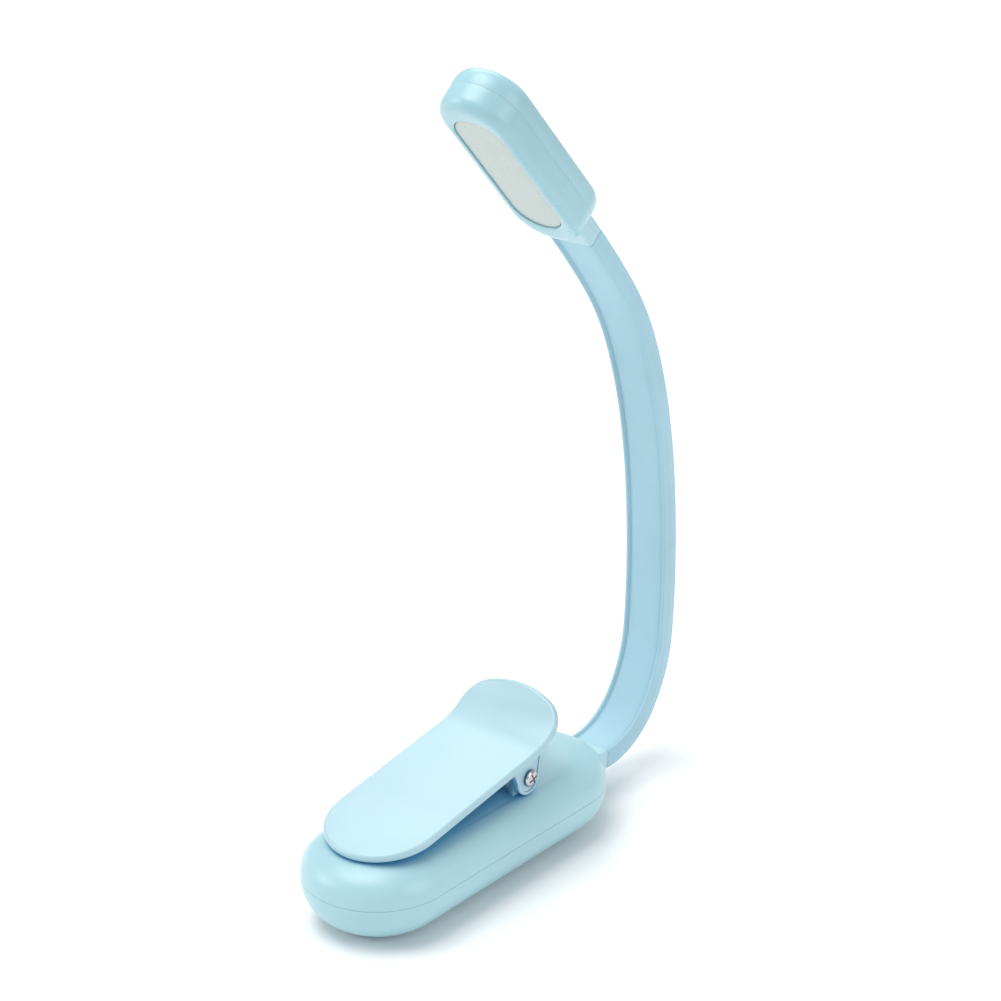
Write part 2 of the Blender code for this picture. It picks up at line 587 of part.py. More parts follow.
def make_neck():
    rubber = material("neck_rubber", BLUE_NECK, 0.6)
    core = material("core_wire", (0.5, 0.5, 0.5), 0.4, 1.0)
    jacket = material("cable_jacket", (0.85, 0.85, 0.82), 0.6)
    half = NECK_THICKNESS / 2
    joints = [NECK_LENGTH * i / NECK_SEGMENTS for i in range(NECK_SEGMENTS + 1)]
    for number, (start, end) in enumerate(zip(joints, joints[1:]), 1):
        first, last = number == 1, number == NECK_SEGMENTS
        low = start + (FIT_GAP if first else 0)
        high = end - (FIT_GAP if last else 0)
        outline = strip_outline(low, high, half, not first, not last)
        sleeve = flat_outline(f"neck_sleeve_{number}", outline, NECK_WIDTH, rubber, SIDE_PLANE)
        channel_outline = strip_outline(low - 1 * MM, high + 4 * MM, half - SLEEVE_WALL, False, False)
        channel = flat_outline(f"neck_channel_{number}", channel_outline, NECK_WIDTH - 2 * SLEEVE_SIDE_WALL,
                               matrix=SIDE_PLANE)
        boolean(sleeve, "DIFFERENCE", channel)
        wire_low = -3.5 * MM if first else start + 2.8 * MM
        wire_high = NECK_LENGTH + 3.5 * MM if last else end + 1.8 * MM
        stations = [wire_low + (wire_high - wire_low) * i / 10 for i in range(11)]
        for side, name in ((-1, "left"), (1, "right")):
            wire(f"neck_core_{name}_{number}", [neck_offset(s, 0, side * CORE_OFFSET) for s in stations],
                 CORE_RADIUS, core)
        path = [neck_offset(s, 0) for s in stations]
        if first:
            path = [Vector(point) * MM for point in CABLE_IN_CASE] + path
        if last:
            path += [head_to_world((0, y * MM, z * MM)) for y, z in CABLE_IN_HEAD]
        wire(f"neck_cable_{number}", path, CABLE_RADIUS, jacket)

    hard = material("collar_blue", BLUE_CASE, 0.4)
    make_collar("neck_base_collar", -6.6 * MM, 0, hard)
    make_collar("neck_head_collar", NECK_LENGTH, NECK_LENGTH + 6.5 * MM, hard)


def make_collar(name, start, end, look):
    outline = strip_outline(start, end, NECK_THICKNESS / 2, False, False)
    collar = flat_outline(name, outline, NECK_WIDTH, look, SIDE_PLANE)
    bore_outline = strip_outline(start - 1 * MM, end + 1 * MM, NECK_THICKNESS / 2 - SLEEVE_WALL, False, False)
    bore = flat_outline(name + "_bore", bore_outline, NECK_WIDTH - 2 * SLEEVE_SIDE_WALL, matrix=SIDE_PLANE)
    boolean(collar, "DIFFERENCE", bore)


# ---------------------------------------------------------------- head

HEAD_PLACE = Matrix.Translation(HEAD_CENTRE) @ Matrix.Rotation(HEAD_ANGLE, 4, "X")


def head_to_world(point):
    return HEAD_PLACE @ Vector(point)


def head_front_rings():
    """(radius, height) from the seam up the straight side and round the edge to the flat bezel."""
    half, face = HEAD_WIDTH / 2, HEAD_THICKNESS / 2
    turns = [math.radians(90 * i / 6) for i in range(7)]
    edge = [(half - HEAD_EDGE_RADIUS * (1 - math.cos(a)), face - HEAD_EDGE_RADIUS * (1 - math.sin(a)))
            for a in turns]
    return [(half, SEAM_GAP / 2)] + edge


def head_rear_rings():
    """(radius, height) from the flat of the back out to the seam."""
    half, depth = HEAD_WIDTH / 2, HEAD_THICKNESS / 2
    power = 2 / HEAD_REAR_ROUNDNESS
    flat = math.radians(80)
    top = math.sin(flat) ** power
    angles = [flat * i / 8 for i in range(1, 9)]
    rings = [(half * math.cos(a) ** power, -depth * math.sin(a) ** power / top) for a in angles]
    return rings[::-1] + [(half, -SEAM_GAP / 2)]


def make_head():
    blue = material("head_blue", BLUE_CASE, 0.4)
    straight = HEAD_LENGTH - HEAD_WIDTH
    front = stadium_loft("head_front_shell", head_front_rings(), straight, blue, HEAD_PLACE,
                         (False, True), 32)
    rear = stadium_loft("head_rear_shell", head_rear_rings(), straight, blue, HEAD_PLACE,
                        (True, False), 32)
    for shell in (front, rear):
        skin = shell.modifiers.new("wall", "SOLIDIFY")
        skin.thickness = HEAD_WALL
        skin.offset = -1
        skin.use_even_offset = True
    face = HEAD_THICKNESS / 2
    lens_straight = LENS_LENGTH - LENS_WIDTH
    lens_half = LENS_WIDTH / 2
    window_rings = [(lens_half + FIT_GAP, 0.5 * MM), (lens_half + FIT_GAP, face + 2 * MM)]
    window = stadium_loft("lens_window", window_rings, lens_straight, matrix=HEAD_PLACE, points=32)
    boolean(front, "DIFFERENCE", window)
    for shell, name in ((front, "front"), (rear, "rear")):
        notch = neck_cutter(f"head_notch_{name}", NECK_LENGTH - 5 * MM, NECK_LENGTH + 7 * MM)
        boolean(shell, "DIFFERENCE", notch)

    lens_rings = [(lens_half, face - 1.9 * MM), (lens_half, face - LENS_SETBACK)]
    stadium_loft("lens_diffuser", lens_rings, lens_straight, material("lens_white", (0.62, 0.69, 0.67), 0.3),
                 HEAD_PLACE, points=32)

    top = 0.2 * MM
    box("led_board", (-6 * MM, -12 * MM, top - 0.8 * MM), (6 * MM, 13 * MM, top),
        material("board_white", (0.8, 0.8, 0.78), 0.5), matrix=HEAD_PLACE)
    amber = material("led_package", (0.85, 0.7, 0.2), 0.3)
    for number in range(1, 6):
        y = (number - 3) * 4.6 * MM
        box(f"led_{number}", (-1.4 * MM, y - 1.4 * MM, top + 0.1 * MM),
            (1.4 * MM, y + 1.4 * MM, top + 0.9 * MM), amber, 0.1 * MM, HEAD_PLACE)
    box("led_resistor", (3.2 * MM, -1 * MM, top + 0.1 * MM), (4.6 * MM, 1.2 * MM, top + 0.7 * MM),
        material("component_black", (0.02, 0.02, 0.022), 0.5), 0.08 * MM, HEAD_PLACE)


def shade_smooth():
    for obj in PARTS.objects:
        if obj.type == "MESH":
            obj.data.shade_smooth()
            obj.data.set_sharp_from_angle(angle=math.radians(35))


def put_origins_on_joint_axes():
    """Moves the origin of each jointed piece onto its joint without moving the piece."""
    piece = NECK_LENGTH / NECK_SEGMENTS
    pivots = {"clip_jaw": Vector((0, PIN_Y, PIN_Z)), "jaw_grip_pad": Vector((0, PIN_Y, PIN_Z))}
    for number in range(2, NECK_SEGMENTS + 1):
        for name in ("neck_sleeve", "neck_core_left", "neck_core_right", "neck_cable"):
            pivots[f"{name}_{number}"] = neck_point(piece * (number - 1))[0]
    last_joint = neck_point(piece * (NECK_SEGMENTS - 1))[0]
    for obj in PARTS.objects:
        if obj.name.startswith(("head_", "lens_", "led_", "neck_head_collar")):
            pivots[obj.name] = last_joint
    for name, pivot in pivots.items():
        obj = bpy.data.objects[name]
        shift = obj.matrix_world.inverted() @ pivot
        obj.data.transform(Matrix.Translation(-shift))
        obj.matrix_world = obj.matrix_world @ Matrix.Translation(shift)


clear_scene()
PARTS = new_collection("clip_on_reading_lamp")
CUTTERS = new_collection("cutters")
make_case()
make_screws()
make_electronics()
make_jaw()
make_hinge()
make_neck()
make_head()
shade_smooth()
bpy.context.view_layer.update()
put_origins_on_joint_axes()
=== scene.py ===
"""Looks of a clip-on rechargeable reading lamp: satin moulded shells, a soft ribbon neck and a frosted lens.

Metres, +Z up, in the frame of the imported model. The clip's tip points to -Y and the neck rises at +Y.
"""

import json
import math

import bmesh
import bpy
from mathutils import Matrix, Vector


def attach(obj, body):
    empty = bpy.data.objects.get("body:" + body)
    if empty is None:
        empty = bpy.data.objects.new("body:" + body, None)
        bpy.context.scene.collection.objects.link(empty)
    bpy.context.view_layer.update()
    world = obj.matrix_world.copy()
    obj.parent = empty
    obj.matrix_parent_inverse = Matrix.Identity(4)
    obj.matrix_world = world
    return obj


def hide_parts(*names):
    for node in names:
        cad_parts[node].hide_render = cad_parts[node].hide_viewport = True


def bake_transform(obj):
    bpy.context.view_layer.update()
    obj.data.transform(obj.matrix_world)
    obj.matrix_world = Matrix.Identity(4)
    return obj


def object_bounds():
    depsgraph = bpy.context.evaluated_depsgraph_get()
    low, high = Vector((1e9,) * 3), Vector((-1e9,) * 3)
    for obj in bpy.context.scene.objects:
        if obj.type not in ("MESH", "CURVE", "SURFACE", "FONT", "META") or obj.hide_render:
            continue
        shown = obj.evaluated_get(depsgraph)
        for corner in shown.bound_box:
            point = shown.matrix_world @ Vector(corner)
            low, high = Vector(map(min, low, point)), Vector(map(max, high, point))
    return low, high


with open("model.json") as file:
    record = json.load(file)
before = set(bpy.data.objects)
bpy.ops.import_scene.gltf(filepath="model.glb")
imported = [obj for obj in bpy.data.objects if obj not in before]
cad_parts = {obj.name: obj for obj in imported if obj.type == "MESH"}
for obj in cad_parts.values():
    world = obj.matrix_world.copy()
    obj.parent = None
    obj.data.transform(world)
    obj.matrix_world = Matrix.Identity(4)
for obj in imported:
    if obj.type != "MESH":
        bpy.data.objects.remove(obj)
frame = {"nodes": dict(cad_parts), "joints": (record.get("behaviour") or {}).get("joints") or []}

CAD_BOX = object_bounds()
MM = 0.001
MERGE_DISTANCE = 1e-7
NODES = frame["nodes"]
JOINTS = {joint["name"]: joint for joint in frame["joints"]}

# Case
BASE_LENGTH = 72 * MM
BASE_WIDTH = 28.4 * MM
BASE_HEIGHT = 16.4 * MM
SEAM_HEIGHT = 9.1 * MM
UPPER_ROUNDNESS = 2.5
LOWER_ROUNDNESS = 2.3
WALL = 1.5 * MM
SEAM_GAP = 0.04 * MM
SEAM_EDGE = 0.08 * MM
HEAD_SEAM_GAP = 0.02 * MM
HEAD_SEAM_EDGE = 0.03 * MM
LIP_HEIGHT = 0.35 * MM
LOWER_SINK = 0.7 * MM
UPPER_FLAT_ANGLE = math.radians(78)
PROFILE_STEPS = 20
FLAT_RING = 0.7 * MM
FIT = 0.14 * MM
CASE_POINTS = 112
SCREW_YS = {"front": -23.5 * MM, "rear": 23.5 * MM}
BOARD_TOP = 9.4 * MM
BUTTON_Y = -9 * MM
SOCKET_Y = 8 * MM
SIDE_PART_Z = 10.9 * MM
SOCKET_FLOOR = BOARD_TOP + 0.1 * MM

# Clip
PIN_Y, PIN_Z = JOINTS["jaw_hinge"]["pos_m"][1:]
PIN_RADIUS = 0.9 * MM
PIN_HOLE_RADIUS = 1.0 * MM
PIN_HEAD_RADIUS = 1.65 * MM
PIN_HOLE_REACH = 13 * MM
JAW_WIDTH = 22.5 * MM
JAW_THICKNESS = 1.6 * MM
JAW_FRONT_Y = -31 * MM
JAW_SLOPE = math.radians(9.6)
JAW_LENGTH = 52.7 * MM
JAW_FLAT_RUN = 39.8 * MM
JAW_CURL_RADIUS = 13 * MM
JAW_CORNER = 6 * MM
JAW_END_RADIUS = 20 * MM
JAW_TOP_AT_PIN = 23.95 * MM
JAW_EDGE = 0.62 * MM
LUG_INNER_X = 8.9 * MM
LUG_THICKNESS = 1.4 * MM
LUG_RADIUS = 3.1 * MM
POST_THICKNESS = 1.4 * MM
POST_RADIUS = 2.6 * MM
SPRING_WIRE = 0.6 * MM
SPRING_RADIUS = 1.7 * MM
SPRING_TURNS = 6

# Neck
NECK_WIDTH = 9.6 * MM
NECK_THICKNESS = 4.2 * MM
NECK_START = Vector((0, 39.4 * MM, 7.9 * MM))
NECK_START_ANGLE = math.radians(-3)
NECK_LENGTH = 124 * MM
NECK_BENDS = [55, 33, 5.5, 4.5, 7, 9, 16, 4.5]
NECK_SEGMENTS = 6
NECK_BODIES = ["base", "neck_link_2", "neck_link_3", "neck_link_4", "neck_link_5", "head"]
COLLAR_REACH = 6.5 * MM
BEND_REACH = 6.5 * MM
CORE_RADIUS = 0.7 * MM
CORE_OFFSET = 2.5 * MM
CABLE_RADIUS = 0.9 * MM
STATION = 0.65 * MM

# Head, in its own frame: +Y along it and +Z out of the lens.
HEAD_LENGTH = 41.0 * MM
HEAD_WIDTH = 15.1 * MM
HEAD_THICKNESS = 9.6 * MM
HEAD_REAR_ROUNDNESS = 3.6
HEAD_FLAT_ANGLE = math.radians(80)
HEAD_EDGE_RADIUS = 2.0 * MM
HEAD_WALL = 1.2 * MM
LENS_LENGTH = 31.5 * MM
LENS_WIDTH = 10.4 * MM
LENS_SETBACK = 0.3 * MM
LENS_DEPTH = 1.6 * MM
LENS_GAP = 0.07 * MM
HEAD_POINTS = 96
HEAD_PLACE = Matrix.Translation((0, 18.95 * MM, 132.6 * MM)) @ Matrix.Rotation(math.radians(132.65), 4, "X")

# A turned profile's local z goes to world X, and its local y stays along Y.
AXIS_TO_X = Matrix(((0, 0, 1, 0), (0, 1, 0, 0), (-1, 0, 0, 0), (0, 0, 0, 1)))
# Local x, y and z of a flat side outline go to world Y, Z and X.
SIDE_PLANE = Matrix(((0, 0, 1, 0), (1, 0, 0, 0), (0, 1, 0, 0), (0, 0, 0, 1)))


# ---------------------------------------------------------------- camera, floor and light


def make_camera():
    """Looks slightly down at the lamp from its front right."""
    azimuth, elevation, roll = math.radians(40.24), math.radians(22.24), math.radians(-0.52)
    target = Vector((0, 7.49 * MM, 71.65 * MM))
    distance = 456.5 * MM
    turn = (Matrix.Rotation(azimuth, 4, "Z") @ Matrix.Rotation(math.pi / 2 - elevation, 4, "X")
            @ Matrix.Rotation(roll, 4, "Z"))
    data = bpy.data.cameras.new("camera")
    data.sensor_width = 36
    data.lens = 91.98
    data.shift_x = 0.0192
    camera = bpy.data.objects.new("camera", data)
    camera.matrix_world = Matrix.Translation(target + turn.col[2].xyz * distance) @ turn
    bpy.context.scene.collection.objects.link(camera)
    bpy.context.scene.camera = camera


def area_light(name, place, target, size, power, color):
    data = bpy.data.lights.new(name, "AREA")
    data.shape = "DISK"
    data.size = size
    data.energy = power
    data.color = color
    light = bpy.data.objects.new(name, data)
    light.location = place
    light.rotation_euler = (Vector(target) - Vector(place)).to_track_quat("-Z", "Y").to_euler()
    bpy.context.scene.collection.objects.link(light)


def make_studio():
    """Places and sizes in metres and powers in watts."""
    bpy.context.scene.view_settings.view_transform = "Standard"
    world = bpy.data.worlds.new("studio")
    bpy.context.scene.world = world
    world.use_nodes = True
    background = world.node_tree.nodes["Background"]
    background.inputs["Color"].default_value = (0.97, 0.985, 1.0, 1)
    background.inputs["Strength"].default_value = 0.57
    middle = (0, 0, 0.07)
    area_light("overhead_softbox", (-0.15, -0.2, 0.95), middle, 0.7, 5.6, (1.0, 0.99, 0.97))
    area_light("front_left_softbox", (-0.75, -0.65, 0.45), middle, 0.5, 2.4, (1.0, 1.0, 1.0))
    area_light("right_softbox", (0.85, 0.15, 0.35), middle, 0.6, 1.6, (0.97, 0.99, 1.0))
    area_light("backdrop_softbox", (-0.6, 0.75, 0.9), (-0.55, 0.75, 0), 0.9, 5.2, (1.0, 1.0, 1.0))

    bm = bmesh.new()
    bmesh.ops.create_grid(bm, x_segments=1, y_segments=1, size=2.0)
    floor = new_object("floor", bm)
    floor.location.z = CAD_BOX[0][2] - 0.1 * MM
    floor.data.materials.append(floor_paper())


# ---------------------------------------------------------------- mesh tools


def new_object(name, bm):
    bmesh.ops.recalc_face_normals(bm, faces=bm.faces)
    mesh = bpy.data.meshes.new(name)
    bm.to_mesh(mesh)
    bm.free()
    obj = bpy.data.objects.new(name, mesh)
    bpy.context.scene.collection.objects.link(obj)
    return obj


def finish_piece(obj, look, body, nodes, sharp=32):
    """Gives a piece its material, shading and body, and hides the nodes that it stands for."""
    obj.data.materials.clear()
    obj.data.materials.append(look)
    obj.data.shade_smooth()
    obj.data.set_sharp_from_angle(angle=math.radians(sharp))
    if body:
        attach(obj, body)
    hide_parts(*nodes)


def combine(obj, operation, *tools):
    """Joins or cuts the tools, which are then removed."""
    for tool in tools:
        modifier = obj.modifiers.new("tool", "BOOLEAN")
        modifier.operation = operation
        modifier.solver = "EXACT"
        modifier.object = tool
    graph = bpy.context.evaluated_depsgraph_get()
    mesh = bpy.data.meshes.new_from_object(obj.evaluated_get(graph))
    obj.modifiers.clear()
    obj.data = mesh
    for tool in tools:
        bpy.data.objects.remove(tool)


def loft(rings, ring_closed=False):
    """Skins rings of the same number of points, and caps the first and last or joins them."""
    bm = bmesh.new()
    loops = [[bm.verts.new(point) for point in ring] for ring in rings]
    pairs = list(zip(loops, loops[1:]))
    if ring_closed:
        pairs.append((loops[-1], loops[0]))
    else:
        bm.faces.new(list(reversed(loops[0])))
        bm.faces.new(loops[-1])
    for first, second in pairs:
        for i, vert in enumerate(first):
            j = (i + 1) % len(first)
            bm.faces.new((vert, first[j], second[j], second[i]))
    bmesh.ops.remove_doubles(bm, verts=bm.verts, dist=MERGE_DISTANCE)
    return bm


def racetrack(radius, straight, height, count):
    """A ring of points shaped as a racetrack along Y, or a circle where straight is 0."""
    ring = []
    for i in range(count):
        angle = 2 * math.pi * (i + 0.5) / count
        y = radius * math.sin(angle) + math.copysign(straight / 2, math.sin(angle))
        ring.append(Vector((radius * math.cos(angle), y, height)))
    return ring


def turned(name, profile, straight=0.0, matrix=None, count=48, ring_closed=False):
    """A solid of racetrack rings. The profile gives (radius, height), or (radius, height, straight)."""
    rings = [racetrack(step[0], step[2] if len(step) > 2 else straight, step[1], count) for step in profile]
    bm = loft(rings, ring_closed)
    if matrix is not None:
        bmesh.ops.transform(bm, matrix=matrix, verts=bm.verts)
    return new_object(name, bm)


def rod(name, start, end, radius, count=48, edge=0.0):
    """A round bar with rounded rims."""
    start, end = Vector(start), Vector(end)
    along = end - start
    place = Matrix.Translation(start) @ along.to_track_quat("Z", "Y").to_matrix().to_4x4()
    return turned(name, rounded_ends(radius, 0, along.length, edge), matrix=place, count=count)


def rounded_ends(radius, low, high, edge, steps=4):
    """(radius, height) up a straight wall whose two rims are rounded."""
    if not edge:
        return [(radius, low), (radius, high)]
    turns = [math.pi / 2 * i / steps for i in range(steps + 1)]
    rim = [(radius - edge + edge * math.sin(a), edge - edge * math.cos(a)) for a in turns]
    return [(r, low + h) for r, h in rim] + [(r, high - h) for r, h in reversed(rim)]


def inset_outline(outline, amount):
    """Moves each point of a closed outline, given anticlockwise, inwards."""
    points = [Vector(point) for point in outline]
    moved = []
    for i, point in enumerate(points):
        along = (points[(i + 1) % len(points)] - points[i - 1]).normalized()
        moved.append(point + Vector((-along.y, along.x)) * amount)
    return moved


def slab_rings(outline, low, high, edge, steps=4):
    """Rings of a plate with rounded edges."""
    return [[Vector((p.x, p.y, height)) for p in inset_outline(outline, inset)]
            for inset, height in ((-r, h) for r, h in rounded_ends(0, low, high, edge, steps))]


def slab(name, outline, low, high, edge=0.0, matrix=None):
    bm = loft(slab_rings(outline, low, high, edge))
    if matrix is not None:
        bmesh.ops.transform(bm, matrix=matrix, verts=bm.verts)
    return new_object(name, bm)


def arc(centre, radius, start, end, steps):
    """Points on an arc, in degrees, both ends included."""
    angles = [math.radians(start + (end - start) * i / steps) for i in range(steps + 1)]
    return [(centre[0] + radius * math.cos(a), centre[1] + radius * math.sin(a)) for a in angles]


def rounded_rectangle(low, high, corner, steps=5):
    """An anticlockwise outline with round corners."""
    (x0, y0), (x1, y1) = low, high
    outline = []
    for x, y, start in ((x1 - corner, y0 + corner, 270), (x1 - corner, y1 - corner, 0),
                        (x0 + corner, y1 - corner, 90), (x0 + corner, y0 + corner, 180)):
        outline += arc((x, y), corner, start, start + 90, steps)
    return outline


def block(name, low, high, corner, edge=0.0, matrix=None):
    """A box from its lowest to its highest corner, with round upright corners and rounded rims."""
    return slab(name, rounded_rectangle(low[:2], high[:2], corner), low[2], high[2], edge, matrix)


def tube(points, radius, sides=14):
    """A round wire through the points, with closed ends."""
    points = [Vector(point) for point in points]
    rings = []
    across = None
    for i, point in enumerate(points):
        along = (points[min(i + 1, len(points) - 1)] - points[max(i - 1, 0)]).normalized()
        if across is None:
            across = along.orthogonal().normalized()
        across = (across - along * across.dot(along)).normalized()
        other = along.cross(across)
        angles = [2 * math.pi * k / sides for k in range(sides)]
        rings.append([point + (across * math.cos(a) + other * math.sin(a)) * radius for a in angles])
    return loft(rings)


def smooth_path(points, steps=6):
    """A smooth curve through the points."""
    points = [Vector(point) for point in points]
    padded = [2 * points[0] - points[1]] + points + [2 * points[-1] - points[-2]]
    path = []
    for before, start, end, after in zip(padded, padded[1:], padded[2:], padded[3:]):
        for i in range(steps):
            t = i / steps
            squared = 2 * before - 5 * start + 4 * end - after
            cubed = 3 * start - before - 3 * end + after
            path.append(0.5 * (2 * start + (end - before) * t + squared * t ** 2 + cubed * t ** 3))
    return path + [points[-1]]


# ---------------------------------------------------------------- materials


class Look:
    """A procedural material under construction: short calls that add and link nodes."""

    def __init__(self, name):
        self.material = bpy.data.materials.new(name)
        self.material.use_nodes = True
        self.nodes = self.material.node_tree.nodes
        self.links = self.material.node_tree.links
        self.shader = self.nodes["Principled BSDF"]
        self.place = self.nodes.new("ShaderNodeTexCoord").outputs["Object"]

    def set(self, **values):
        for name, value in values.items():
            self.shader.inputs[name.replace("_", " ")].default_value = value

    def noise(self, scale, detail=3.0, roughness=0.5, stretch=None):
        node = self.nodes.new("ShaderNodeTexNoise")
        node.inputs["Scale"].default_value = scale
        node.inputs["Detail"].default_value = detail
        node.inputs["Roughness"].default_value = roughness
        source = self.place
        if stretch:
            mapping = self.nodes.new("ShaderNodeMapping")
            mapping.inputs["Scale"].default_value = stretch
            self.links.new(source, mapping.inputs["Vector"])
            source = mapping.outputs["Vector"]
        self.links.new(source, node.inputs["Vector"])
        return node.outputs["Fac"]

    def cells(self, scale):
        node = self.nodes.new("ShaderNodeTexVoronoi")
        node.inputs["Scale"].default_value = scale
        self.links.new(self.place, node.inputs["Vector"])
        return node.outputs["Distance"]

    def band(self, value, low, high, to_low, to_high):
        node = self.nodes.new("ShaderNodeMapRange")
        for name, number in (("From Min", low), ("From Max", high), ("To Min", to_low), ("To Max", to_high)):
            node.inputs[name].default_value = number
        self.links.new(value, node.inputs["Value"])
        return node.outputs["Result"]

    def painted_crevice_shade(self, distance, low, high, most):
        """Painted shade: rises from 0 in the open to most where other surfaces stand close, above the case's
        seam.
        """
        node = self.nodes.new("ShaderNodeAmbientOcclusion")
        node.samples = 8
        node.inputs["Distance"].default_value = distance
        split = self.nodes.new("ShaderNodeSeparateXYZ")
        self.links.new(self.place, split.inputs["Vector"])
        above_floor = self.band(split.outputs["Z"], SEAM_HEIGHT - 1 * MM, SEAM_HEIGHT + 2.5 * MM, 0.0, 1.0)
        return self.product(self.band(node.outputs["AO"], low, high, most, 0.0), above_floor)

    def edges(self, reach, most):
        """Rises to most on sharp outer and inner edges."""
        bevel = self.nodes.new("ShaderNodeBevel")
        bevel.samples = 4
        bevel.inputs["Radius"].default_value = reach
        surface = self.nodes.new("ShaderNodeNewGeometry")
        dot = self.nodes.new("ShaderNodeVectorMath")
        dot.operation = "DOT_PRODUCT"
        self.links.new(bevel.outputs["Normal"], dot.inputs[0])
        self.links.new(surface.outputs["Normal"], dot.inputs[1])
        return self.band(dot.outputs["Value"], 0.9, 0.99, most, 0.0)

    def product(self, first, second):
        node = self.nodes.new("ShaderNodeMath")
        node.operation = "MULTIPLY"
        self.links.new(first, node.inputs[0])
        self.links.new(second, node.inputs[1])
        return node.outputs["Value"]

    def ramp(self, value, stops):
        node = self.nodes.new("ShaderNodeValToRGB")
        elements = node.color_ramp.elements
        while len(elements) < len(stops):
            elements.new(0.5)
        for element, (position, color) in zip(elements, stops):
            element.position = position
            element.color = (*color, 1)
        self.links.new(value, node.inputs["Fac"])
        return node.outputs["Color"]

    def mix(self, factor, first, second):
        """Goes from the first color to the second. Each is a tuple or a socket."""
        node = self.nodes.new("ShaderNodeMix")
        node.data_type = "RGBA"
        self.links.new(factor, node.inputs["Factor"])
        for socket, value in ((node.inputs["A"], first), (node.inputs["B"], second)):
            if isinstance(value, tuple):
                socket.default_value = (*value, 1)
            else:
                self.links.new(value, socket)
        return node.outputs["Result"]

    def color(self, value):
        self.links.new(value, self.shader.inputs["Base Color"])

    def roughness(self, value):
        self.links.new(value, self.shader.inputs["Roughness"])

    def bump(self, *layers):
        """Stacks bumps, each given as (height, distance, strength)."""
        normal = None
        for height, distance, strength in layers:
            node = self.nodes.new("ShaderNodeBump")
            node.inputs["Distance"].default_value = distance
            node.inputs["Strength"].default_value = strength
            self.links.new(height, node.inputs["Height"])
            if normal:
                self.links.new(normal, node.inputs["Normal"])
            normal = node.outputs["Normal"]
        self.links.new(normal, self.shader.inputs["Normal"])


def shade_of(color, factor):
    return tuple(min(1.0, channel * factor) for channel in color)


def moulded_plastic(name, color, rough=0.36, shade=1.0):
    """Satin moulded plastic: faint clouding, a fine grain, a painted highlight on sharp edges, and painted
    shade in a darker, more saturated blue where other surfaces stand close.
    """
    look = Look(name)
    look.set(IOR=1.5, Specular_IOR_Level=0.5, Coat_Weight=0.5, Coat_Roughness=0.38)
    clouds = look.ramp(look.noise(38, 4), [(0.36, shade_of(color, 0.965)), (0.66, shade_of(color, 1.03))])
    # Painted highlight: sharp edges are lightened towards a pale grey, and the dust specks then go over it.
    painted_edge_highlight = look.edges(0.25 * MM, 0.4)
    edge_highlight_color = tuple(0.6 * channel + 0.4 * 0.92 for channel in color)
    clouds_and_edge_highlight = look.mix(painted_edge_highlight, clouds, edge_highlight_color)
    specks = look.band(look.cells(420), 0.03, 0.055, 0.5, 0.0)
    sparse = look.band(look.noise(150, 2), 0.66, 0.72, 0.0, 1.0)
    dusted = look.mix(look.product(specks, sparse), clouds_and_edge_highlight, shade_of(color, 0.72))
    # Painted shade: shade sets how far the colour turns to this darker, more saturated blue where other
    # surfaces stand close.
    painted_shade_blue = (0.06 * color[0], 0.5 * color[1], 0.85 * color[2])
    look.color(look.mix(look.painted_crevice_shade(11 * MM, 0.22, 0.72, shade), dusted, painted_shade_blue))
    look.roughness(look.band(look.noise(95, 5), 0.3, 0.7, rough - 0.05, rough + 0.07))
    look.bump((look.noise(5200, 2), 0.02 * MM, 0.5), (look.noise(210, 3), 0.06 * MM, 0.25))
    return look.material


def neck_silicone():
    """Soft-touch silicone: matt, with a light dusting of lint, a fine skin, long extrusion streaks, and
    painted shade of a darker blue where other surfaces stand close, as in the corners of its recess.
    """
    color = (0.372, 0.598, 0.70)
    look = Look("neck_silicone")
    look.set(IOR=1.42, Specular_IOR_Level=0.4, Sheen_Weight=0.12, Sheen_Roughness=0.5)
    clouds = look.ramp(look.noise(55, 5), [(0.34, shade_of(color, 0.95)), (0.68, shade_of(color, 1.035))])
    lint = look.band(look.cells(260), 0.035, 0.07, 0.55, 0.0)
    sparse = look.band(look.noise(120, 2), 0.6, 0.68, 0.0, 1.0)
    dusted = look.mix(look.product(lint, sparse), clouds, shade_of(color, 0.7))
    # Painted shade: a darker, more saturated blue within 1.2 mm of other surfaces.
    painted_shade_blue = (0.3 * color[0], 0.62 * color[1], 0.85 * color[2])
    look.color(look.mix(look.painted_crevice_shade(1.2 * MM, 0.1, 0.45, 1.0), dusted, painted_shade_blue))
    look.roughness(look.band(look.noise(140, 4), 0.3, 0.7, 0.44, 0.58))
    streaks = look.noise(160, 3, 0.5, (3.0, 0.35, 0.35))
    look.bump((look.noise(3600, 3), 0.03 * MM, 0.45), (streaks, 0.08 * MM, 0.3))
    return look.material


def frosted_lens():
    """Opal acrylic that spreads the light of the lamps behind it."""
    look = Look("frosted_lens")
    look.set(IOR=1.49, Specular_IOR_Level=0.5, Coat_Weight=0.15, Coat_Roughness=0.25)
    look.color(look.ramp(look.noise(60, 4), [(0.35, (0.455, 0.53, 0.505)), (0.68, (0.478, 0.545, 0.515))]))
    look.roughness(look.band(look.noise(300, 4), 0.3, 0.7, 0.26, 0.36))
    look.bump((look.noise(4200, 2), 0.008 * MM, 0.25))
    return look.material


def metal(name, color, rough, scale=900, stretch=(1.0, 1.0, 1.0), bump=0.3):
    """Plated steel with fine drawing marks and a little tarnish."""
    look = Look(name)
    look.set(Metallic=1.0, Anisotropic=0.25)
    look.color(look.ramp(look.noise(240, 4), [(0.3, shade_of(color, 0.82)), (0.62, color)]))
    marks = look.noise(scale, 4, 0.6, stretch)
    look.roughness(look.band(marks, 0.3, 0.7, rough - 0.06, rough + 0.1))
    look.bump((marks, 0.02 * MM, bump))
    return look.material


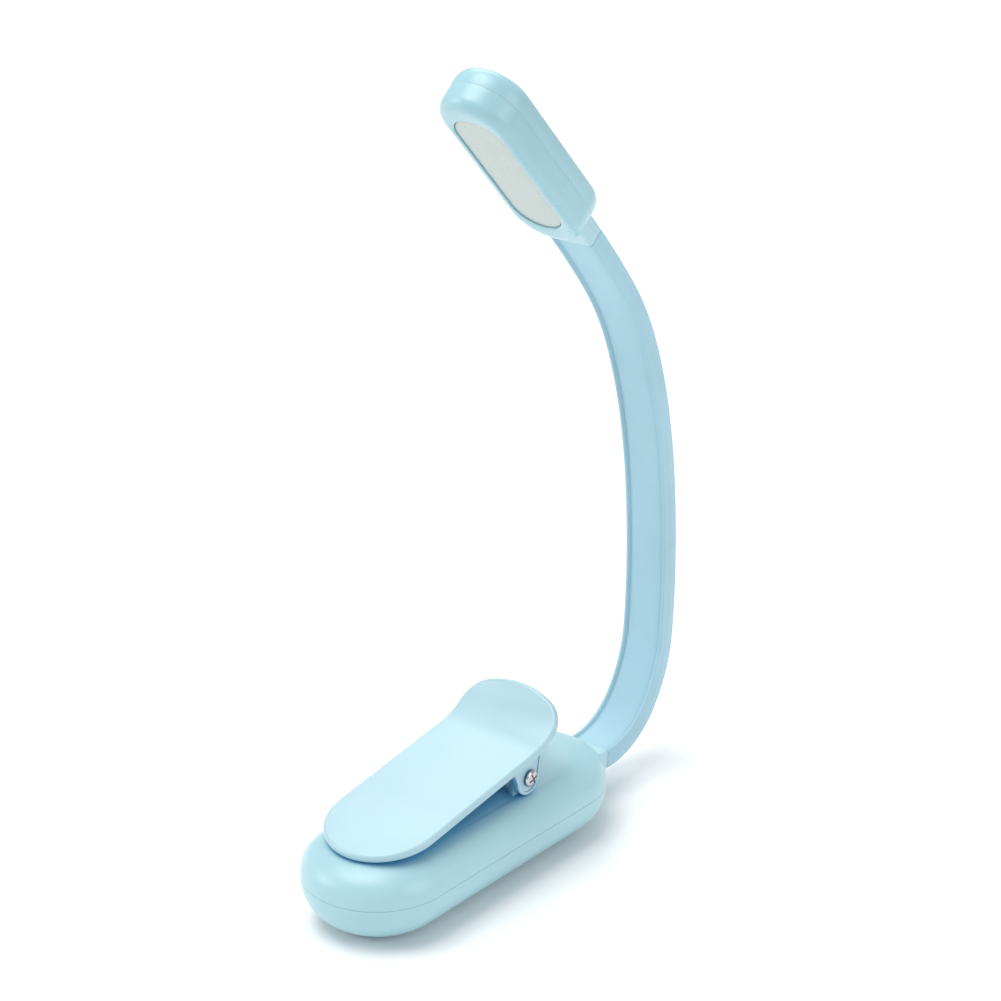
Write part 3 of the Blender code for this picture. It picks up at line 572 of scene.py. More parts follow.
def grip_rubber():
    look = Look("grip_rubber")
    look.set(IOR=1.45, Specular_IOR_Level=0.25, Sheen_Weight=0.15, Sheen_Roughness=0.6)
    look.color(look.ramp(look.noise(300, 4), [(0.32, (0.42, 0.58, 0.65)), (0.7, (0.5, 0.67, 0.74))]))
    look.roughness(look.band(look.noise(500, 3), 0.3, 0.7, 0.7, 0.86))
    look.bump((look.noise(3000, 4), 0.04 * MM, 0.6))
    return look.material


def board_coat(name, color):
    """Solder mask with faint copper tracks under it."""
    look = Look(name)
    look.set(IOR=1.5, Coat_Weight=0.3, Coat_Roughness=0.2)
    tracks = look.band(look.noise(420, 0, 0.5, (1.0, 0.12, 1.0)), 0.52, 0.56, 0.0, 0.5)
    look.color(look.mix(tracks, color, shade_of(color, 1.6)))
    look.roughness(look.band(look.noise(800, 3), 0.3, 0.7, 0.3, 0.5))
    look.bump((tracks, 0.03 * MM, 0.6))
    return look.material


def speckled(name, color, rough, contrast=0.15, **values):
    """A small moulded or coated part with fine colour and gloss variation."""
    look = Look(name)
    look.set(**values)
    look.color(look.ramp(look.noise(700, 4), [(0.3, shade_of(color, 1 - contrast)), (0.7, color)]))
    look.roughness(look.band(look.noise(1100, 3), 0.3, 0.7, max(0.02, rough - 0.08), rough + 0.1))
    look.bump((look.noise(3800, 3), 0.02 * MM, 0.4))
    return look.material


def led_package():
    """The yellow of an LED's phosphor, given to the whole package."""
    look = Look("led_package")
    look.set(IOR=1.5, Coat_Weight=0.5, Coat_Roughness=0.1)
    look.color(look.ramp(look.noise(500, 3), [(0.35, (0.86, 0.66, 0.16)), (0.65, (0.93, 0.8, 0.3))]))
    look.roughness(look.band(look.noise(900, 3), 0.3, 0.7, 0.2, 0.34))
    look.bump((look.noise(3000, 2), 0.02 * MM, 0.3))
    return look.material


def floor_paper():
    """Pale studio paper."""
    look = Look("floor_paper")
    look.set(Specular_IOR_Level=0.1)
    look.color(look.ramp(look.noise(6, 4), [(0.3, (0.93, 0.935, 0.94)), (0.7, (0.95, 0.955, 0.96))]))
    look.roughness(look.band(look.noise(40, 4), 0.3, 0.7, 0.85, 0.95))
    look.bump((look.noise(1500, 3), 0.03 * MM, 0.2))
    return look.material


# ---------------------------------------------------------------- case shells


def case_profile(lower):
    """(radius, height) of one shell's outside, from the seam to its flat face."""
    half = BASE_WIDTH / 2
    power = 2 / (LOWER_ROUNDNESS if lower else UPPER_ROUNDNESS)
    if lower:
        depth = SEAM_HEIGHT + LOWER_SINK
        flat = math.asin((SEAM_HEIGHT / depth) ** (1 / power))
        rise = -depth
    else:
        flat = UPPER_FLAT_ANGLE
        rise = (BASE_HEIGHT - SEAM_HEIGHT) / math.sin(flat) ** power
    angles = [flat * i / PROFILE_STEPS for i in range(1, PROFILE_STEPS + 1)]
    return [(half * math.cos(a) ** power, SEAM_HEIGHT + rise * math.sin(a) ** power) for a in angles]


def inner_profile(profile, wall):
    """The profile moved inwards by the wall."""
    moved = []
    for i, (radius, height) in enumerate(profile):
        before, after = profile[max(i - 1, 0)], profile[min(i + 1, len(profile) - 1)]
        along = Vector((after[0] - before[0], after[1] - before[1])).normalized()
        turn = 1 if profile[-1][1] > profile[0][1] else -1
        moved.append((radius - along.y * wall * turn, height + along.x * wall * turn))
    return moved


def shell_profile(outside, half, seam, wall, up, gap=SEAM_GAP, round_edge=SEAM_EDGE):
    """A whole shell, as (radius, height): its inside, the lip or rebate at the seam, then its outside."""
    sign = 1 if up else -1
    inside = [step for step in inner_profile(outside, wall) if (step[1] - seam) * sign > 2.2 * LIP_HEIGHT]
    flat_radius, flat_height = outside[-1]
    inside[-1] = (min(inside[-1][0], flat_radius), flat_height - sign * wall)
    rim = seam + sign * gap / 2
    lip_height = seam + LIP_HEIGHT + (gap if up else 0)
    lip_radius = half - wall / 2 + sign * gap / 2
    step = [(half - wall, lip_height), (lip_radius, lip_height), (lip_radius, rim)]
    edge = []
    for i in range(4):
        angle = math.pi / 2 * i / 3
        inwards, onwards = 1 - math.sin(angle), 1 - math.cos(angle)
        edge.append((half - round_edge * inwards, rim + sign * round_edge * onwards))
    outer = [point for point in outside if (point[1] - seam) * sign > 1.6 * round_edge]
    inside.append((inside[-1][0] - FLAT_RING, inside[-1][1]))
    outer.append((flat_radius - FLAT_RING, flat_height))
    return inside[::-1] + step + edge + outer


def jaw_top(y):
    """Height of the straight part of the clip's upper face."""
    return JAW_TOP_AT_PIN + (y - PIN_Y) * math.tan(JAW_SLOPE)


def neck_tool(name, start, end):
    """A stretch of the neck, grown by the fit, which opens a shell for a collar."""
    side, rise = NECK_WIDTH / 2 + FIT, NECK_THICKNESS / 2 + FIT
    outline = rounded_rectangle((-side, -rise), (side, rise), 0.7 * MM + FIT)
    stations = spaced(start, end, 1 * MM)
    return new_object(name, loft([[neck_offset(s, z, x) for x, z in outline] for s in stations]))


def pin_hole(name):
    """Cutter for the pin's hole through everything on it."""
    return rod(name, (-PIN_HOLE_REACH, PIN_Y, PIN_Z), (PIN_HOLE_REACH, PIN_Y, PIN_Z), PIN_HOLE_RADIUS, 32)


def make_case(blue):
    straight = BASE_LENGTH - BASE_WIDTH
    half = BASE_WIDTH / 2
    lower_profile = shell_profile(case_profile(True), half, SEAM_HEIGHT, WALL, False)
    upper_profile = shell_profile(case_profile(False), half, SEAM_HEIGHT, WALL, True)
    lower = turned("base_lower_cover", lower_profile, straight, count=CASE_POINTS)
    upper = turned("base_upper_cover", upper_profile, straight, count=CASE_POINTS)
    for y in SCREW_YS.values():
        combine(lower, "UNION", rod("seat", (0, y, 0.2 * MM), (0, y, 3.0 * MM), 3.2 * MM))
        combine(upper, "UNION", rod("boss", (0, y, 3.4 * MM), (0, y, BASE_HEIGHT - 0.8 * MM), 2.1 * MM))
        sink = [(2.5 * MM, -0.3 * MM), (2.2 * MM, 0.05 * MM), (2.05 * MM, 0.25 * MM), (2.05 * MM, 1.6 * MM)]
        combine(lower, "DIFFERENCE", turned("sink", sink, matrix=Matrix.Translation((0, y, 0))),
                rod("clearance", (0, y, 1 * MM), (0, y, 4 * MM), 1.2 * MM))
        combine(upper, "DIFFERENCE", rod("pilot", (0, y, 2 * MM), (0, y, 11 * MM), 0.95 * MM))

    post_outer = LUG_INNER_X - FIT - 0.16 * MM
    for side in (-1, 1):
        low_x, high_x = sorted((side * (post_outer - POST_THICKNESS), side * post_outer))
        outline = arc((PIN_Y, PIN_Z), POST_RADIUS, 0, 180, 20)
        outline += [(PIN_Y - POST_RADIUS - 0.5 * MM, 14.6 * MM), (PIN_Y + POST_RADIUS + 0.5 * MM, 14.6 * MM)]
        combine(upper, "UNION", slab("post", outline, low_x, high_x, 0.22 * MM, SIDE_PLANE))
    seat_low = jaw_top(0) - JAW_THICKNESS / math.cos(JAW_SLOPE) - 0.3 * MM
    tilt = Matrix.Translation((0, 0, seat_low)) @ Matrix.Rotation(JAW_SLOPE, 4, "X")
    bay_low, bay_high = (-6.2 * MM, -20.2 * MM, BASE_HEIGHT - 0.5 * MM), (6.2 * MM, -7.8 * MM, 20 * MM)
    combine(upper, "DIFFERENCE", pin_hole("pin_hole"),
            rod("spring_bay", (-6.6 * MM, PIN_Y, PIN_Z), (6.6 * MM, PIN_Y, PIN_Z), 2.4 * MM),
            block("jaw_seat", (-20 * MM, -40 * MM, 0), (20 * MM, -4 * MM, 6 * MM), 1 * MM, matrix=tilt),
            block("pad_bay", bay_low, bay_high, 0.8 * MM))
    for side in (-1, 1):
        start, end = (side * (LUG_INNER_X - FIT), PIN_Y, PIN_Z), (side * PIN_HOLE_REACH, PIN_Y, PIN_Z)
        combine(upper, "DIFFERENCE", rod("lug_bay", start, end, LUG_RADIUS + 0.3 * MM))

    outward = Matrix.Translation((-16 * MM, 0, 0)) @ AXIS_TO_X
    combine(upper, "DIFFERENCE",
            turned("button_hole", [(1.45 * MM, 0), (1.45 * MM, 6 * MM)], 5.4 * MM,
                   Matrix.Translation((0, BUTTON_Y, SIDE_PART_Z + 0.1 * MM)) @ outward),
            turned("socket_hole", [(1.9 * MM, 0), (1.9 * MM, 6 * MM)], 4.6 * MM,
                   Matrix.Translation((0, SOCKET_Y, BOARD_TOP + 1.35 * MM)) @ outward),
            turned("light_hole", [(0.88 * MM, 0), (0.88 * MM, 6 * MM)],
                   matrix=Matrix.Translation((0, 0, SIDE_PART_Z)) @ outward))
    for shell in (upper, lower):
        combine(shell, "DIFFERENCE", neck_tool("neck_exit", -9 * MM, 2 * MM))
    finish_piece(lower, blue, "base", ["base_lower_shell"])
    finish_piece(upper, blue, "base", ["base_upper_shell"])


def make_case_screws(steel):
    for end, y in SCREW_YS.items():
        head = rounded_ends(1.8 * MM, 0.3 * MM, 1.3 * MM, 0.25 * MM)
        thread = []
        for turn in range(16):
            height = 1.3 * MM + turn * 0.5 * MM
            thread += [(0.62 * MM, height), (0.78 * MM, height + 0.2 * MM), (0.62 * MM, height + 0.4 * MM)]
        screw = turned(f"case_screw_detail_{end}", head + thread + [(0.3 * MM, 9.5 * MM)],
                       matrix=Matrix.Translation((0, y, 0)), count=40)
        for turn in (0, 90):
            place = Matrix.Translation((0, y, 0)) @ Matrix.Rotation(math.radians(turn + 15), 4, "Z")
            low, high = (-1.15 * MM, -0.2 * MM, -1 * MM), (1.15 * MM, 0.2 * MM, 0.75 * MM)
            combine(screw, "DIFFERENCE", block("slot", low, high, 0.12 * MM, matrix=place))
        finish_piece(screw, steel, "base", [f"case_screw_{end}"])


# ---------------------------------------------------------------- button, socket and indicator


def socket_sleeve(name, radius, low, high):
    """The socket's flattened tube, from one x to another."""
    place = Matrix.Translation((low, SOCKET_Y, SOCKET_FLOOR + 1.35 * MM)) @ AXIS_TO_X
    return turned(name, rounded_ends(radius, 0, high - low, 0.06 * MM), 7.5 * MM - 2.7 * MM, place, 56)


def make_side_parts(blue, steel, black, clear):
    place = Matrix.Translation((-15.1 * MM, BUTTON_Y, SIDE_PART_Z + 0.1 * MM)) @ AXIS_TO_X
    crown = [(0.35 * MM, 0.1 * MM), (0.7 * MM, 0.02 * MM), (0.95 * MM, 0), (1.1 * MM, 0.05 * MM),
             (1.2 * MM, 0.16 * MM), (1.25 * MM, 0.34 * MM), (1.25 * MM, 3.5 * MM)]
    button = turned("power_button_cap", crown, 5.4 * MM, place, 56)
    flange = rounded_rectangle((BUTTON_Y - 4.8 * MM, SIDE_PART_Z - 1.3 * MM),
                               (BUTTON_Y + 4.8 * MM, SIDE_PART_Z + 1.1 * MM), 0.8 * MM)
    combine(button, "UNION", slab("flange", flange, -11.7 * MM, -11.15 * MM, 0.1 * MM, SIDE_PLANE))
    finish_piece(button, blue, "button", ["power_button"])

    socket = socket_sleeve("charge_socket_shell", 1.35 * MM, -13.4 * MM, -8.2 * MM)
    combine(socket, "DIFFERENCE", socket_sleeve("mouth", 1.08 * MM, -15 * MM, -8.9 * MM))
    finish_piece(socket, steel, "base", ["charge_socket"])
    tongue = block("socket_tongue_blade", (-12.6 * MM, SOCKET_Y - 1.8 * MM, SOCKET_FLOOR + 1.1 * MM),
                   (-9.3 * MM, SOCKET_Y + 1.8 * MM, SOCKET_FLOOR + 1.75 * MM), 0.35 * MM, 0.08 * MM)
    finish_piece(tongue, black, "base", ["socket_tongue"])

    dome = [(0.3 * MM, -0.16 * MM), (0.5 * MM, -0.08 * MM), (0.64 * MM, 0.04 * MM), (0.7 * MM, 0.2 * MM),
            (0.7 * MM, 2.7 * MM)]
    place = Matrix.Translation((-14.1 * MM, 0, SIDE_PART_Z)) @ AXIS_TO_X
    light = turned("indicator_window", dome, matrix=place, count=32)
    low, high = (-11.8 * MM, -1.2 * MM, SOCKET_FLOOR), (-10.4 * MM, 1.2 * MM, SIDE_PART_Z + 0.9 * MM)
    foot = block("foot", low, high, 0.25 * MM, 0.08 * MM)
    combine(light, "UNION", foot)
    finish_piece(light, clear, "base", ["indicator_lens"])


# ---------------------------------------------------------------- clip


def jaw_profile(distance):
    """Position along Y and Z, and slope, at a distance along the clip's upper face from its tip."""
    along = Vector((math.cos(JAW_SLOPE), math.sin(JAW_SLOPE)))
    start = Vector((JAW_FRONT_Y, jaw_top(JAW_FRONT_Y)))
    if distance <= JAW_FLAT_RUN:
        return start + along * distance, JAW_SLOPE
    slope = JAW_SLOPE + (distance - JAW_FLAT_RUN) / JAW_CURL_RADIUS
    centre = start + along * JAW_FLAT_RUN + Vector((-along.y, along.x)) * JAW_CURL_RADIUS
    return centre + Vector((math.sin(slope), -math.cos(slope))) * JAW_CURL_RADIUS, slope


def jaw_outline():
    """The clip seen from above, laid flat: a round tip, rounded back corners and a bowed back edge."""
    half = JAW_WIDTH / 2
    corner_x = half - JAW_CORNER
    bow_centre = JAW_LENGTH - JAW_END_RADIUS
    corner_y = bow_centre + math.sqrt((JAW_END_RADIUS - JAW_CORNER) ** 2 - corner_x ** 2)
    meet = math.degrees(math.atan2(corner_y - bow_centre, corner_x))
    outline = arc((0, half), half, 180, 360, 64)
    outline += arc((corner_x, corner_y), JAW_CORNER, 0, meet, 16)
    outline += arc((0, bow_centre), JAW_END_RADIUS, meet, 180 - meet, 20)[1:-1]
    outline += arc((-corner_x, corner_y), JAW_CORNER, 180 - meet, 180, 16)
    return outline


def lug_outline(margin, drop):
    """Side outline of a lug, inset by a margin, which stops a drop below the clip's upper face."""
    y, z = PIN_Y - 0.4 * MM, PIN_Z - 0.1 * MM
    top = jaw_top(y) - drop
    outline = arc((y, z), LUG_RADIUS - margin, 180, 360, 28)
    outline.append((y + LUG_RADIUS + 0.7 * MM - margin, top + 0.5 * MM))
    outline.append((y - LUG_RADIUS - 1.6 * MM + margin, top - 0.5 * MM))
    return outline


def make_jaw(blue, rubber):
    bm = loft(slab_rings(jaw_outline(), -JAW_THICKNESS, 0, JAW_EDGE, 6))
    cuts = spaced(JAW_WIDTH / 2, JAW_FLAT_RUN, 4 * MM)
    cuts += spaced(JAW_FLAT_RUN + 0.4 * MM, JAW_LENGTH - 0.5 * MM, 0.55 * MM)
    for cut in cuts:
        geometry = list(bm.verts) + list(bm.edges) + list(bm.faces)
        bmesh.ops.bisect_plane(bm, geom=geometry, plane_co=(0, cut, 0), plane_no=(0, 1, 0), dist=1e-6)
    for vert in bm.verts:
        (y, z), slope = jaw_profile(vert.co.y)
        depth = vert.co.z
        vert.co.y, vert.co.z = y - math.sin(slope) * depth, z + math.cos(slope) * depth
    jaw = new_object("clip_jaw_plate", bm)
    for side in (-1, 1):
        low_x, high_x = sorted((side * LUG_INNER_X, side * (LUG_INNER_X + LUG_THICKNESS)))
        combine(jaw, "UNION", slab("ear", lug_outline(0, 1.0 * MM), low_x, high_x, 0.25 * MM, SIDE_PLANE))
        face = side * (LUG_INNER_X + LUG_THICKNESS)
        low_x, high_x = sorted((face - side * 0.22 * MM, face + side * 1 * MM))
        dish = slab("dish", lug_outline(0.6 * MM, 2.1 * MM), low_x, high_x, 0.1 * MM, SIDE_PLANE)
        combine(jaw, "DIFFERENCE", dish)
    combine(jaw, "DIFFERENCE", pin_hole("lug_hole"))
    finish_piece(jaw, blue, "jaw", ["clip_jaw"])

    under = jaw_top(0) - (JAW_THICKNESS + 0.1 * MM) / math.cos(JAW_SLOPE)
    tilt = Matrix.Translation((0, 0, under)) @ Matrix.Rotation(JAW_SLOPE, 4, "X")
    upper_pad = ribbed_pad("jaw_grip_ribs", -18 * MM, -7 * MM, -0.6 * MM, 0, True, tilt)
    finish_piece(upper_pad, rubber, "jaw", ["jaw_grip_pad"])
    low, high = BASE_HEIGHT - 0.3 * MM, BASE_HEIGHT + 0.05 * MM
    lower_pad = ribbed_pad("base_grip_ribs", -20 * MM, -8 * MM, low, high, False)
    finish_piece(lower_pad, rubber, "base", ["base_grip_pad"])


def ribbed_pad(name, start, end, low, high, downwards, matrix=None):
    """A thin rubber pad with moulded grooves across it."""
    pad = block(name, (-6 * MM, start, low), (6 * MM, end, high), 1.2 * MM, 0.1 * MM)
    tools = []
    for y in spaced(start + 1.4 * MM, end - 1.4 * MM, 1.0 * MM):
        centre = low if downwards else high
        tools.append(rod("groove", (-4.9 * MM, y, centre), (4.9 * MM, y, centre), 0.17 * MM, 12, 0.1 * MM))
    combine(pad, "DIFFERENCE", *tools)
    if matrix is not None:
        pad.data.transform(matrix)
    return pad


def make_pin(steel):
    """The clip's pin, with a cross-slotted head."""
    outer = LUG_INNER_X + LUG_THICKNESS
    to_x = Matrix.Translation((0, PIN_Y, PIN_Z)) @ AXIS_TO_X
    tail = -outer - 0.9 * MM
    shaft = [(PIN_RADIUS - 0.2 * MM, tail), (PIN_RADIUS, tail + 0.2 * MM), (PIN_RADIUS, outer + 0.1 * MM)]
    dome = [(PIN_HEAD_RADIUS - 0.1 * MM, outer + 0.1 * MM), (PIN_HEAD_RADIUS, outer + 0.2 * MM)]
    for i in range(1, 7):
        angle = math.radians(82 * i / 6)
        dome.append((PIN_HEAD_RADIUS * math.cos(angle), outer + (0.2 + 0.6 * math.sin(angle)) * MM))
    pin = turned("hinge_pin_screw", shaft + dome, matrix=to_x, count=56)
    for turn in (20, 110):
        place = Matrix.Translation((0, PIN_Y, PIN_Z)) @ Matrix.Rotation(math.radians(turn), 4, "X")
        low, high = (outer + 0.25 * MM, -1.05 * MM, -0.2 * MM), (outer + 2 * MM, 1.05 * MM, 0.2 * MM)
        combine(pin, "DIFFERENCE", block("slot", low, high, 0.05 * MM, matrix=place))
    finish_piece(pin, steel, "base", ["hinge_pin"], 28)


def make_nut(steel):
    outer = LUG_INNER_X + LUG_THICKNESS
    reach = 1.42 * MM
    hexagon = []
    for degrees in range(0, 360, 60):
        angle = math.radians(degrees)
        corner = (PIN_Y + reach * math.cos(angle), PIN_Z + reach * math.sin(angle))
        hexagon += arc(corner, 0.18 * MM, degrees - 30, degrees + 30, 4)
    nut = slab("hinge_nut_hex", hexagon, -outer - 1.0 * MM, -outer - 0.15 * MM, 0.12 * MM, SIDE_PLANE)
    hole = rod("hole", (-20 * MM, PIN_Y, PIN_Z), (-5 * MM, PIN_Y, PIN_Z), PIN_RADIUS + 0.06 * MM)
    combine(nut, "DIFFERENCE", hole)
    finish_piece(nut, steel, "base", ["hinge_nut"], 28)


def make_spring(steel):
    """The coil on the pin. Its low leg rests on the case and its high leg under the clip."""
    pitch = SPRING_WIRE * 1.5
    start_x = -SPRING_TURNS * pitch / 2
    per_turn = 36
    coil = []
    for i in range(int((SPRING_TURNS - 0.5) * per_turn) + 1):
        angle = 2 * math.pi * i / per_turn - math.pi / 2
        coil.append((start_x + pitch * i / per_turn,
                     PIN_Y + SPRING_RADIUS * math.cos(angle), PIN_Z + SPRING_RADIUS * math.sin(angle)))
    last_x = -start_x
    low_leg = smooth_path([(start_x, PIN_Y + 8 * MM, BASE_HEIGHT + 0.75 * MM),
                           (start_x, PIN_Y + 4.5 * MM, BASE_HEIGHT + 0.62 * MM),
                           (start_x, PIN_Y + 2.2 * MM, BASE_HEIGHT + 0.5 * MM), coil[0]])
    high_leg = smooth_path([coil[-1], (last_x, PIN_Y + 2.4 * MM, PIN_Z + 2.1 * MM),
                            (last_x, PIN_Y + 5.5 * MM, PIN_Z + 4.6 * MM)])
    spring = new_object("torsion_spring_wire", tube(low_leg[:-1] + coil + high_leg[1:], SPRING_WIRE / 2))
    finish_piece(spring, steel, None, ["torsion_spring"])
    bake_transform(spring)


# ---------------------------------------------------------------- neck


def spaced(start, end, step):
    """Numbers from start to end, both included, about one step apart."""
    count = max(1, round((end - start) / step))
    return [start + (end - start) * i / count for i in range(count + 1)]


def neck_point(distance):
    """Centre point and direction angle at a distance along the neck."""
    piece = NECK_LENGTH / len(NECK_BENDS)
    place = NECK_START.copy()
    angle = NECK_START_ANGLE
    if distance < 0:
        return place + Vector((0, math.cos(angle), math.sin(angle))) * distance, angle
    for bend in NECK_BENDS:
        run = min(piece, max(0, distance))
        turn = math.radians(bend) * run / piece
        chord = run if abs(turn) < 1e-9 else 2 * math.sin(turn / 2) * run / turn
        middle = angle + turn / 2
        place = place + Vector((0, math.cos(middle), math.sin(middle))) * chord
        angle += turn
        distance -= run
    return place + Vector((0, math.cos(angle), math.sin(angle))) * distance, angle


def neck_offset(distance, rise, side=0.0):
    """A point of the neck, offset towards its inner face and along X."""
    place, angle = neck_point(distance)
    return place + Vector((side, -math.sin(angle) * rise, math.cos(angle) * rise))


def half_section(recess):
    """Right half of the neck's section, from the middle of its back to the middle of its inner face."""
    side, rise = NECK_WIDTH / 2, NECK_THICKNESS / 2
    back, front = 0.8 * MM, 0.45 * MM
    section = [(side * part, -rise) for part in (0.15, 0.5)]
    section += arc((side - back, -rise + back), back, -90, 0, 6)
    section += [(side, -0.12 * MM), (side + 0.05 * MM, 0), (side, 0.12 * MM)]
    section += arc((side - front, rise - front), front, 0, 90, 5)
    rim = side - front - 0.1 * MM
    if recess:
        soft = 0.08 * MM
        section += [(rim, rise), (rim - soft, rise - 0.02 * MM), (rim - 1.8 * soft, rise - soft)]
        floor = rise - recess
        foot = rim - 0.42 * MM
        section += [(foot + 0.06 * MM, floor + 0.05 * MM), (foot, floor - 0.07 * MM),
                    (foot - 0.14 * MM, floor - 0.09 * MM), (foot - 0.24 * MM, floor - 0.03 * MM),
                    (foot - 0.36 * MM, floor)]
    else:
        floor = rise
        section += [(rim - 0.3 * MM, rise), (rim - 0.9 * MM, rise)]
    section += [(side * part, floor) for part in (0.45, 0.2)]
    return section


def full_section(recess=0.0):
    """The neck's whole section, with a recess of that depth in its inner face."""
    right = half_section(recess)
    return right + [(-x, z) for x, z in reversed(right)]


def hollow_strip(section, rings, low, high):
    """A hollow stretch of the neck. Rings give (distance, inset), and low and high bound the channel."""
    side, rise = NECK_WIDTH / 2, NECK_THICKNESS / 2
    outside, inside = [], []
    for distance, inset in rings:
        shrink_x, shrink_z = 1 - inset / side, 1 - inset / rise
        outside.append([neck_offset(distance, z * shrink_z, x * shrink_x) for x, z in section])
        bounded = [(min(max(x, low[0]), high[0]), min(max(z, low[1]), high[1])) for x, z in section]
        inside.append([neck_offset(distance, z, x) for x, z in bounded])
    return loft(outside + inside[::-1], True)


def make_neck(silicone, core, jacket):
    """The sleeve, its two bending wires and the cable, in stretches that are each centred on one joint."""
    joint_step = NECK_LENGTH / NECK_SEGMENTS
    section = full_section(0.55 * MM)
    channel = ((-3.5 * MM, -1.2 * MM), (3.5 * MM, 1.02 * MM))
    rim_gap = 0.04 * MM
    for number, (first, second) in enumerate(zip(NECK_BODIES, NECK_BODIES[1:]), 1):
        start, end = joint_step * (number - 0.5), joint_step * (number + 0.5)
        joint = joint_step * number
        bend = {"start": neck_point(joint - BEND_REACH)[0], "end": neck_point(joint + BEND_REACH)[0]}
        is_first, is_last = number == 1, number == NECK_SEGMENTS - 1
        numbers = [number, NECK_SEGMENTS] if is_last else [number]

        low = rim_gap if is_first else start
        high = NECK_LENGTH - rim_gap if is_last else end
        stations = spaced(low, high, STATION)
        rings = [(s, 0) for s in stations]
        if is_first:
            rings = [(low, 0.1 * MM), (low + 0.1 * MM, 0)] + rings[1:]
        if is_last:
            rings = rings[:-1] + [(high - 0.15 * MM, 0), (high, 0.14 * MM)]
        sleeve = new_object(f"neck_skin_{number}", hollow_strip(section, rings, *channel))
        pieces = [(sleeve, silicone, "neck_silicone", "neck_sleeve")]

        low = -3.5 * MM if is_first else start
        high = NECK_LENGTH + 3.5 * MM if is_last else end
        stations = spaced(low, high, 2 * STATION)
        for side, name in ((-1, "left"), (1, "right")):
            wire = new_object(f"bending_wire_{name}_{number}",
                              tube([neck_offset(s, 0, side * CORE_OFFSET) for s in stations], CORE_RADIUS))
            pieces.append((wire, core, "core_wire", f"neck_core_{name}"))
        path = [neck_offset(s, 0) for s in stations]
        if is_first:
            places = (-5, 16, 10.7), (-5, 21, 10.7), (-4.6, 25, 10.2), (-2.6, 29, 9.2), (-0.6, 32, 8.4)
            lead_in = [Vector(place) * MM for place in places]
            path = smooth_path(lead_in + path[:1])[:-1] + path
        if is_last:
            places = (-17.5, 0.45), (-15.5, 0.25), (-12.8, -0.1)
            lead_out = [HEAD_PLACE @ Vector((0, y * MM, z * MM)) for y, z in places]
            path = path + smooth_path(path[-1:] + lead_out)[1:]
        cable = new_object(f"lamp_cable_{number}", tube(path, CABLE_RADIUS))
        pieces.append((cable, jacket, "cable_jacket", "neck_cable"))
        for piece, look, slot, node in pieces:
            finish_piece(piece, look, None, [f"{node}_{n}" for n in numbers])
            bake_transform(piece)


def make_collars(plastic):
    """The ferrules where the neck enters the case and the head."""
    bore = ((-3.6 * MM, -1.3 * MM), (3.6 * MM, 1.3 * MM))
    soft = [(0.0, 0.12 * MM), (0.04 * MM, 0.06 * MM), (0.1 * MM, 0.02 * MM), (0.2 * MM, 0.0)]
    plain = full_section()
    rings = [(s, 0) for s in spaced(-COLLAR_REACH, -0.4 * MM, 1 * MM)]
    rings += [(-s, inset) for s, inset in reversed(soft)]
    base_collar = new_object("neck_base_ferrule", hollow_strip(plain, rings, *bore))
    finish_piece(base_collar, plastic, "base", ["neck_base_collar"])
    rings = [(NECK_LENGTH + s, inset) for s, inset in soft]
    rings += [(NECK_LENGTH + s, 0) for s in spaced(0.4 * MM, COLLAR_REACH, 1 * MM)]
    head_collar = new_object("neck_head_ferrule", hollow_strip(plain, rings, *bore))
    finish_piece(head_collar, plastic, "head", ["neck_head_collar"])


# ---------------------------------------------------------------- head


def make_head(blue, opal):
    """The head's two covers and its lens, which stands a little below the front cover's face."""
    half, face = HEAD_WIDTH / 2, HEAD_THICKNESS / 2
    straight = HEAD_LENGTH - HEAD_WIDTH
    lens_straight = LENS_LENGTH - LENS_WIDTH
    outside = [(half, 1 * MM), (half, 2 * MM)]
    outside += arc((half - HEAD_EDGE_RADIUS, face - HEAD_EDGE_RADIUS), HEAD_EDGE_RADIUS, 0, 90, 10)
    window = LENS_WIDTH / 2 + LENS_GAP
    rim = 0.16 * MM
    mouth = [(window + rim, face, lens_straight), (window + 0.3 * rim, face - 0.3 * rim, lens_straight),
             (window, face - rim, lens_straight), (window, face - HEAD_WALL, lens_straight)]
    profile = shell_profile(outside, half, 0, HEAD_WALL, True, HEAD_SEAM_GAP, HEAD_SEAM_EDGE)
    inner_face = next(i for i, step in enumerate(profile) if step[0] >= half - HEAD_WALL - 1e-6)
    profile = [(half - HEAD_WALL, face - HEAD_WALL)] + profile[inner_face:-1] + mouth
    front = turned("head_front_cover", profile, straight, HEAD_PLACE, HEAD_POINTS, True)

    power = 2 / HEAD_REAR_ROUNDNESS
    top = math.sin(HEAD_FLAT_ANGLE) ** power
    steps = 18
    angles = [HEAD_FLAT_ANGLE * i / steps for i in range(1, steps + 1)]
    back = [(half * math.cos(a) ** power, -face * math.sin(a) ** power / top) for a in angles]
    profile = shell_profile(back, half, 0, HEAD_WALL, False, HEAD_SEAM_GAP, HEAD_SEAM_EDGE)
    rear = turned("head_rear_cover", profile, straight, HEAD_PLACE, HEAD_POINTS)
    for shell, node in ((front, "head_front_shell"), (rear, "head_rear_shell")):
        combine(shell, "DIFFERENCE", neck_tool("collar_notch", NECK_LENGTH - 5 * MM, NECK_LENGTH + 7 * MM))
        finish_piece(shell, blue, "head", [node])

    top_face = face - LENS_SETBACK
    disc = rounded_ends(LENS_WIDTH / 2, top_face - LENS_DEPTH, top_face, 0.2 * MM)
    crown = [(LENS_WIDTH / 2 * share, top_face + 0.06 * MM * (1 - share ** 2)) for share in (0.75, 0.5, 0.25)]
    lens = turned("lens_frosted", disc + crown, lens_straight, HEAD_PLACE, HEAD_POINTS)
    finish_piece(lens, opal, "head", ["lens_diffuser"])


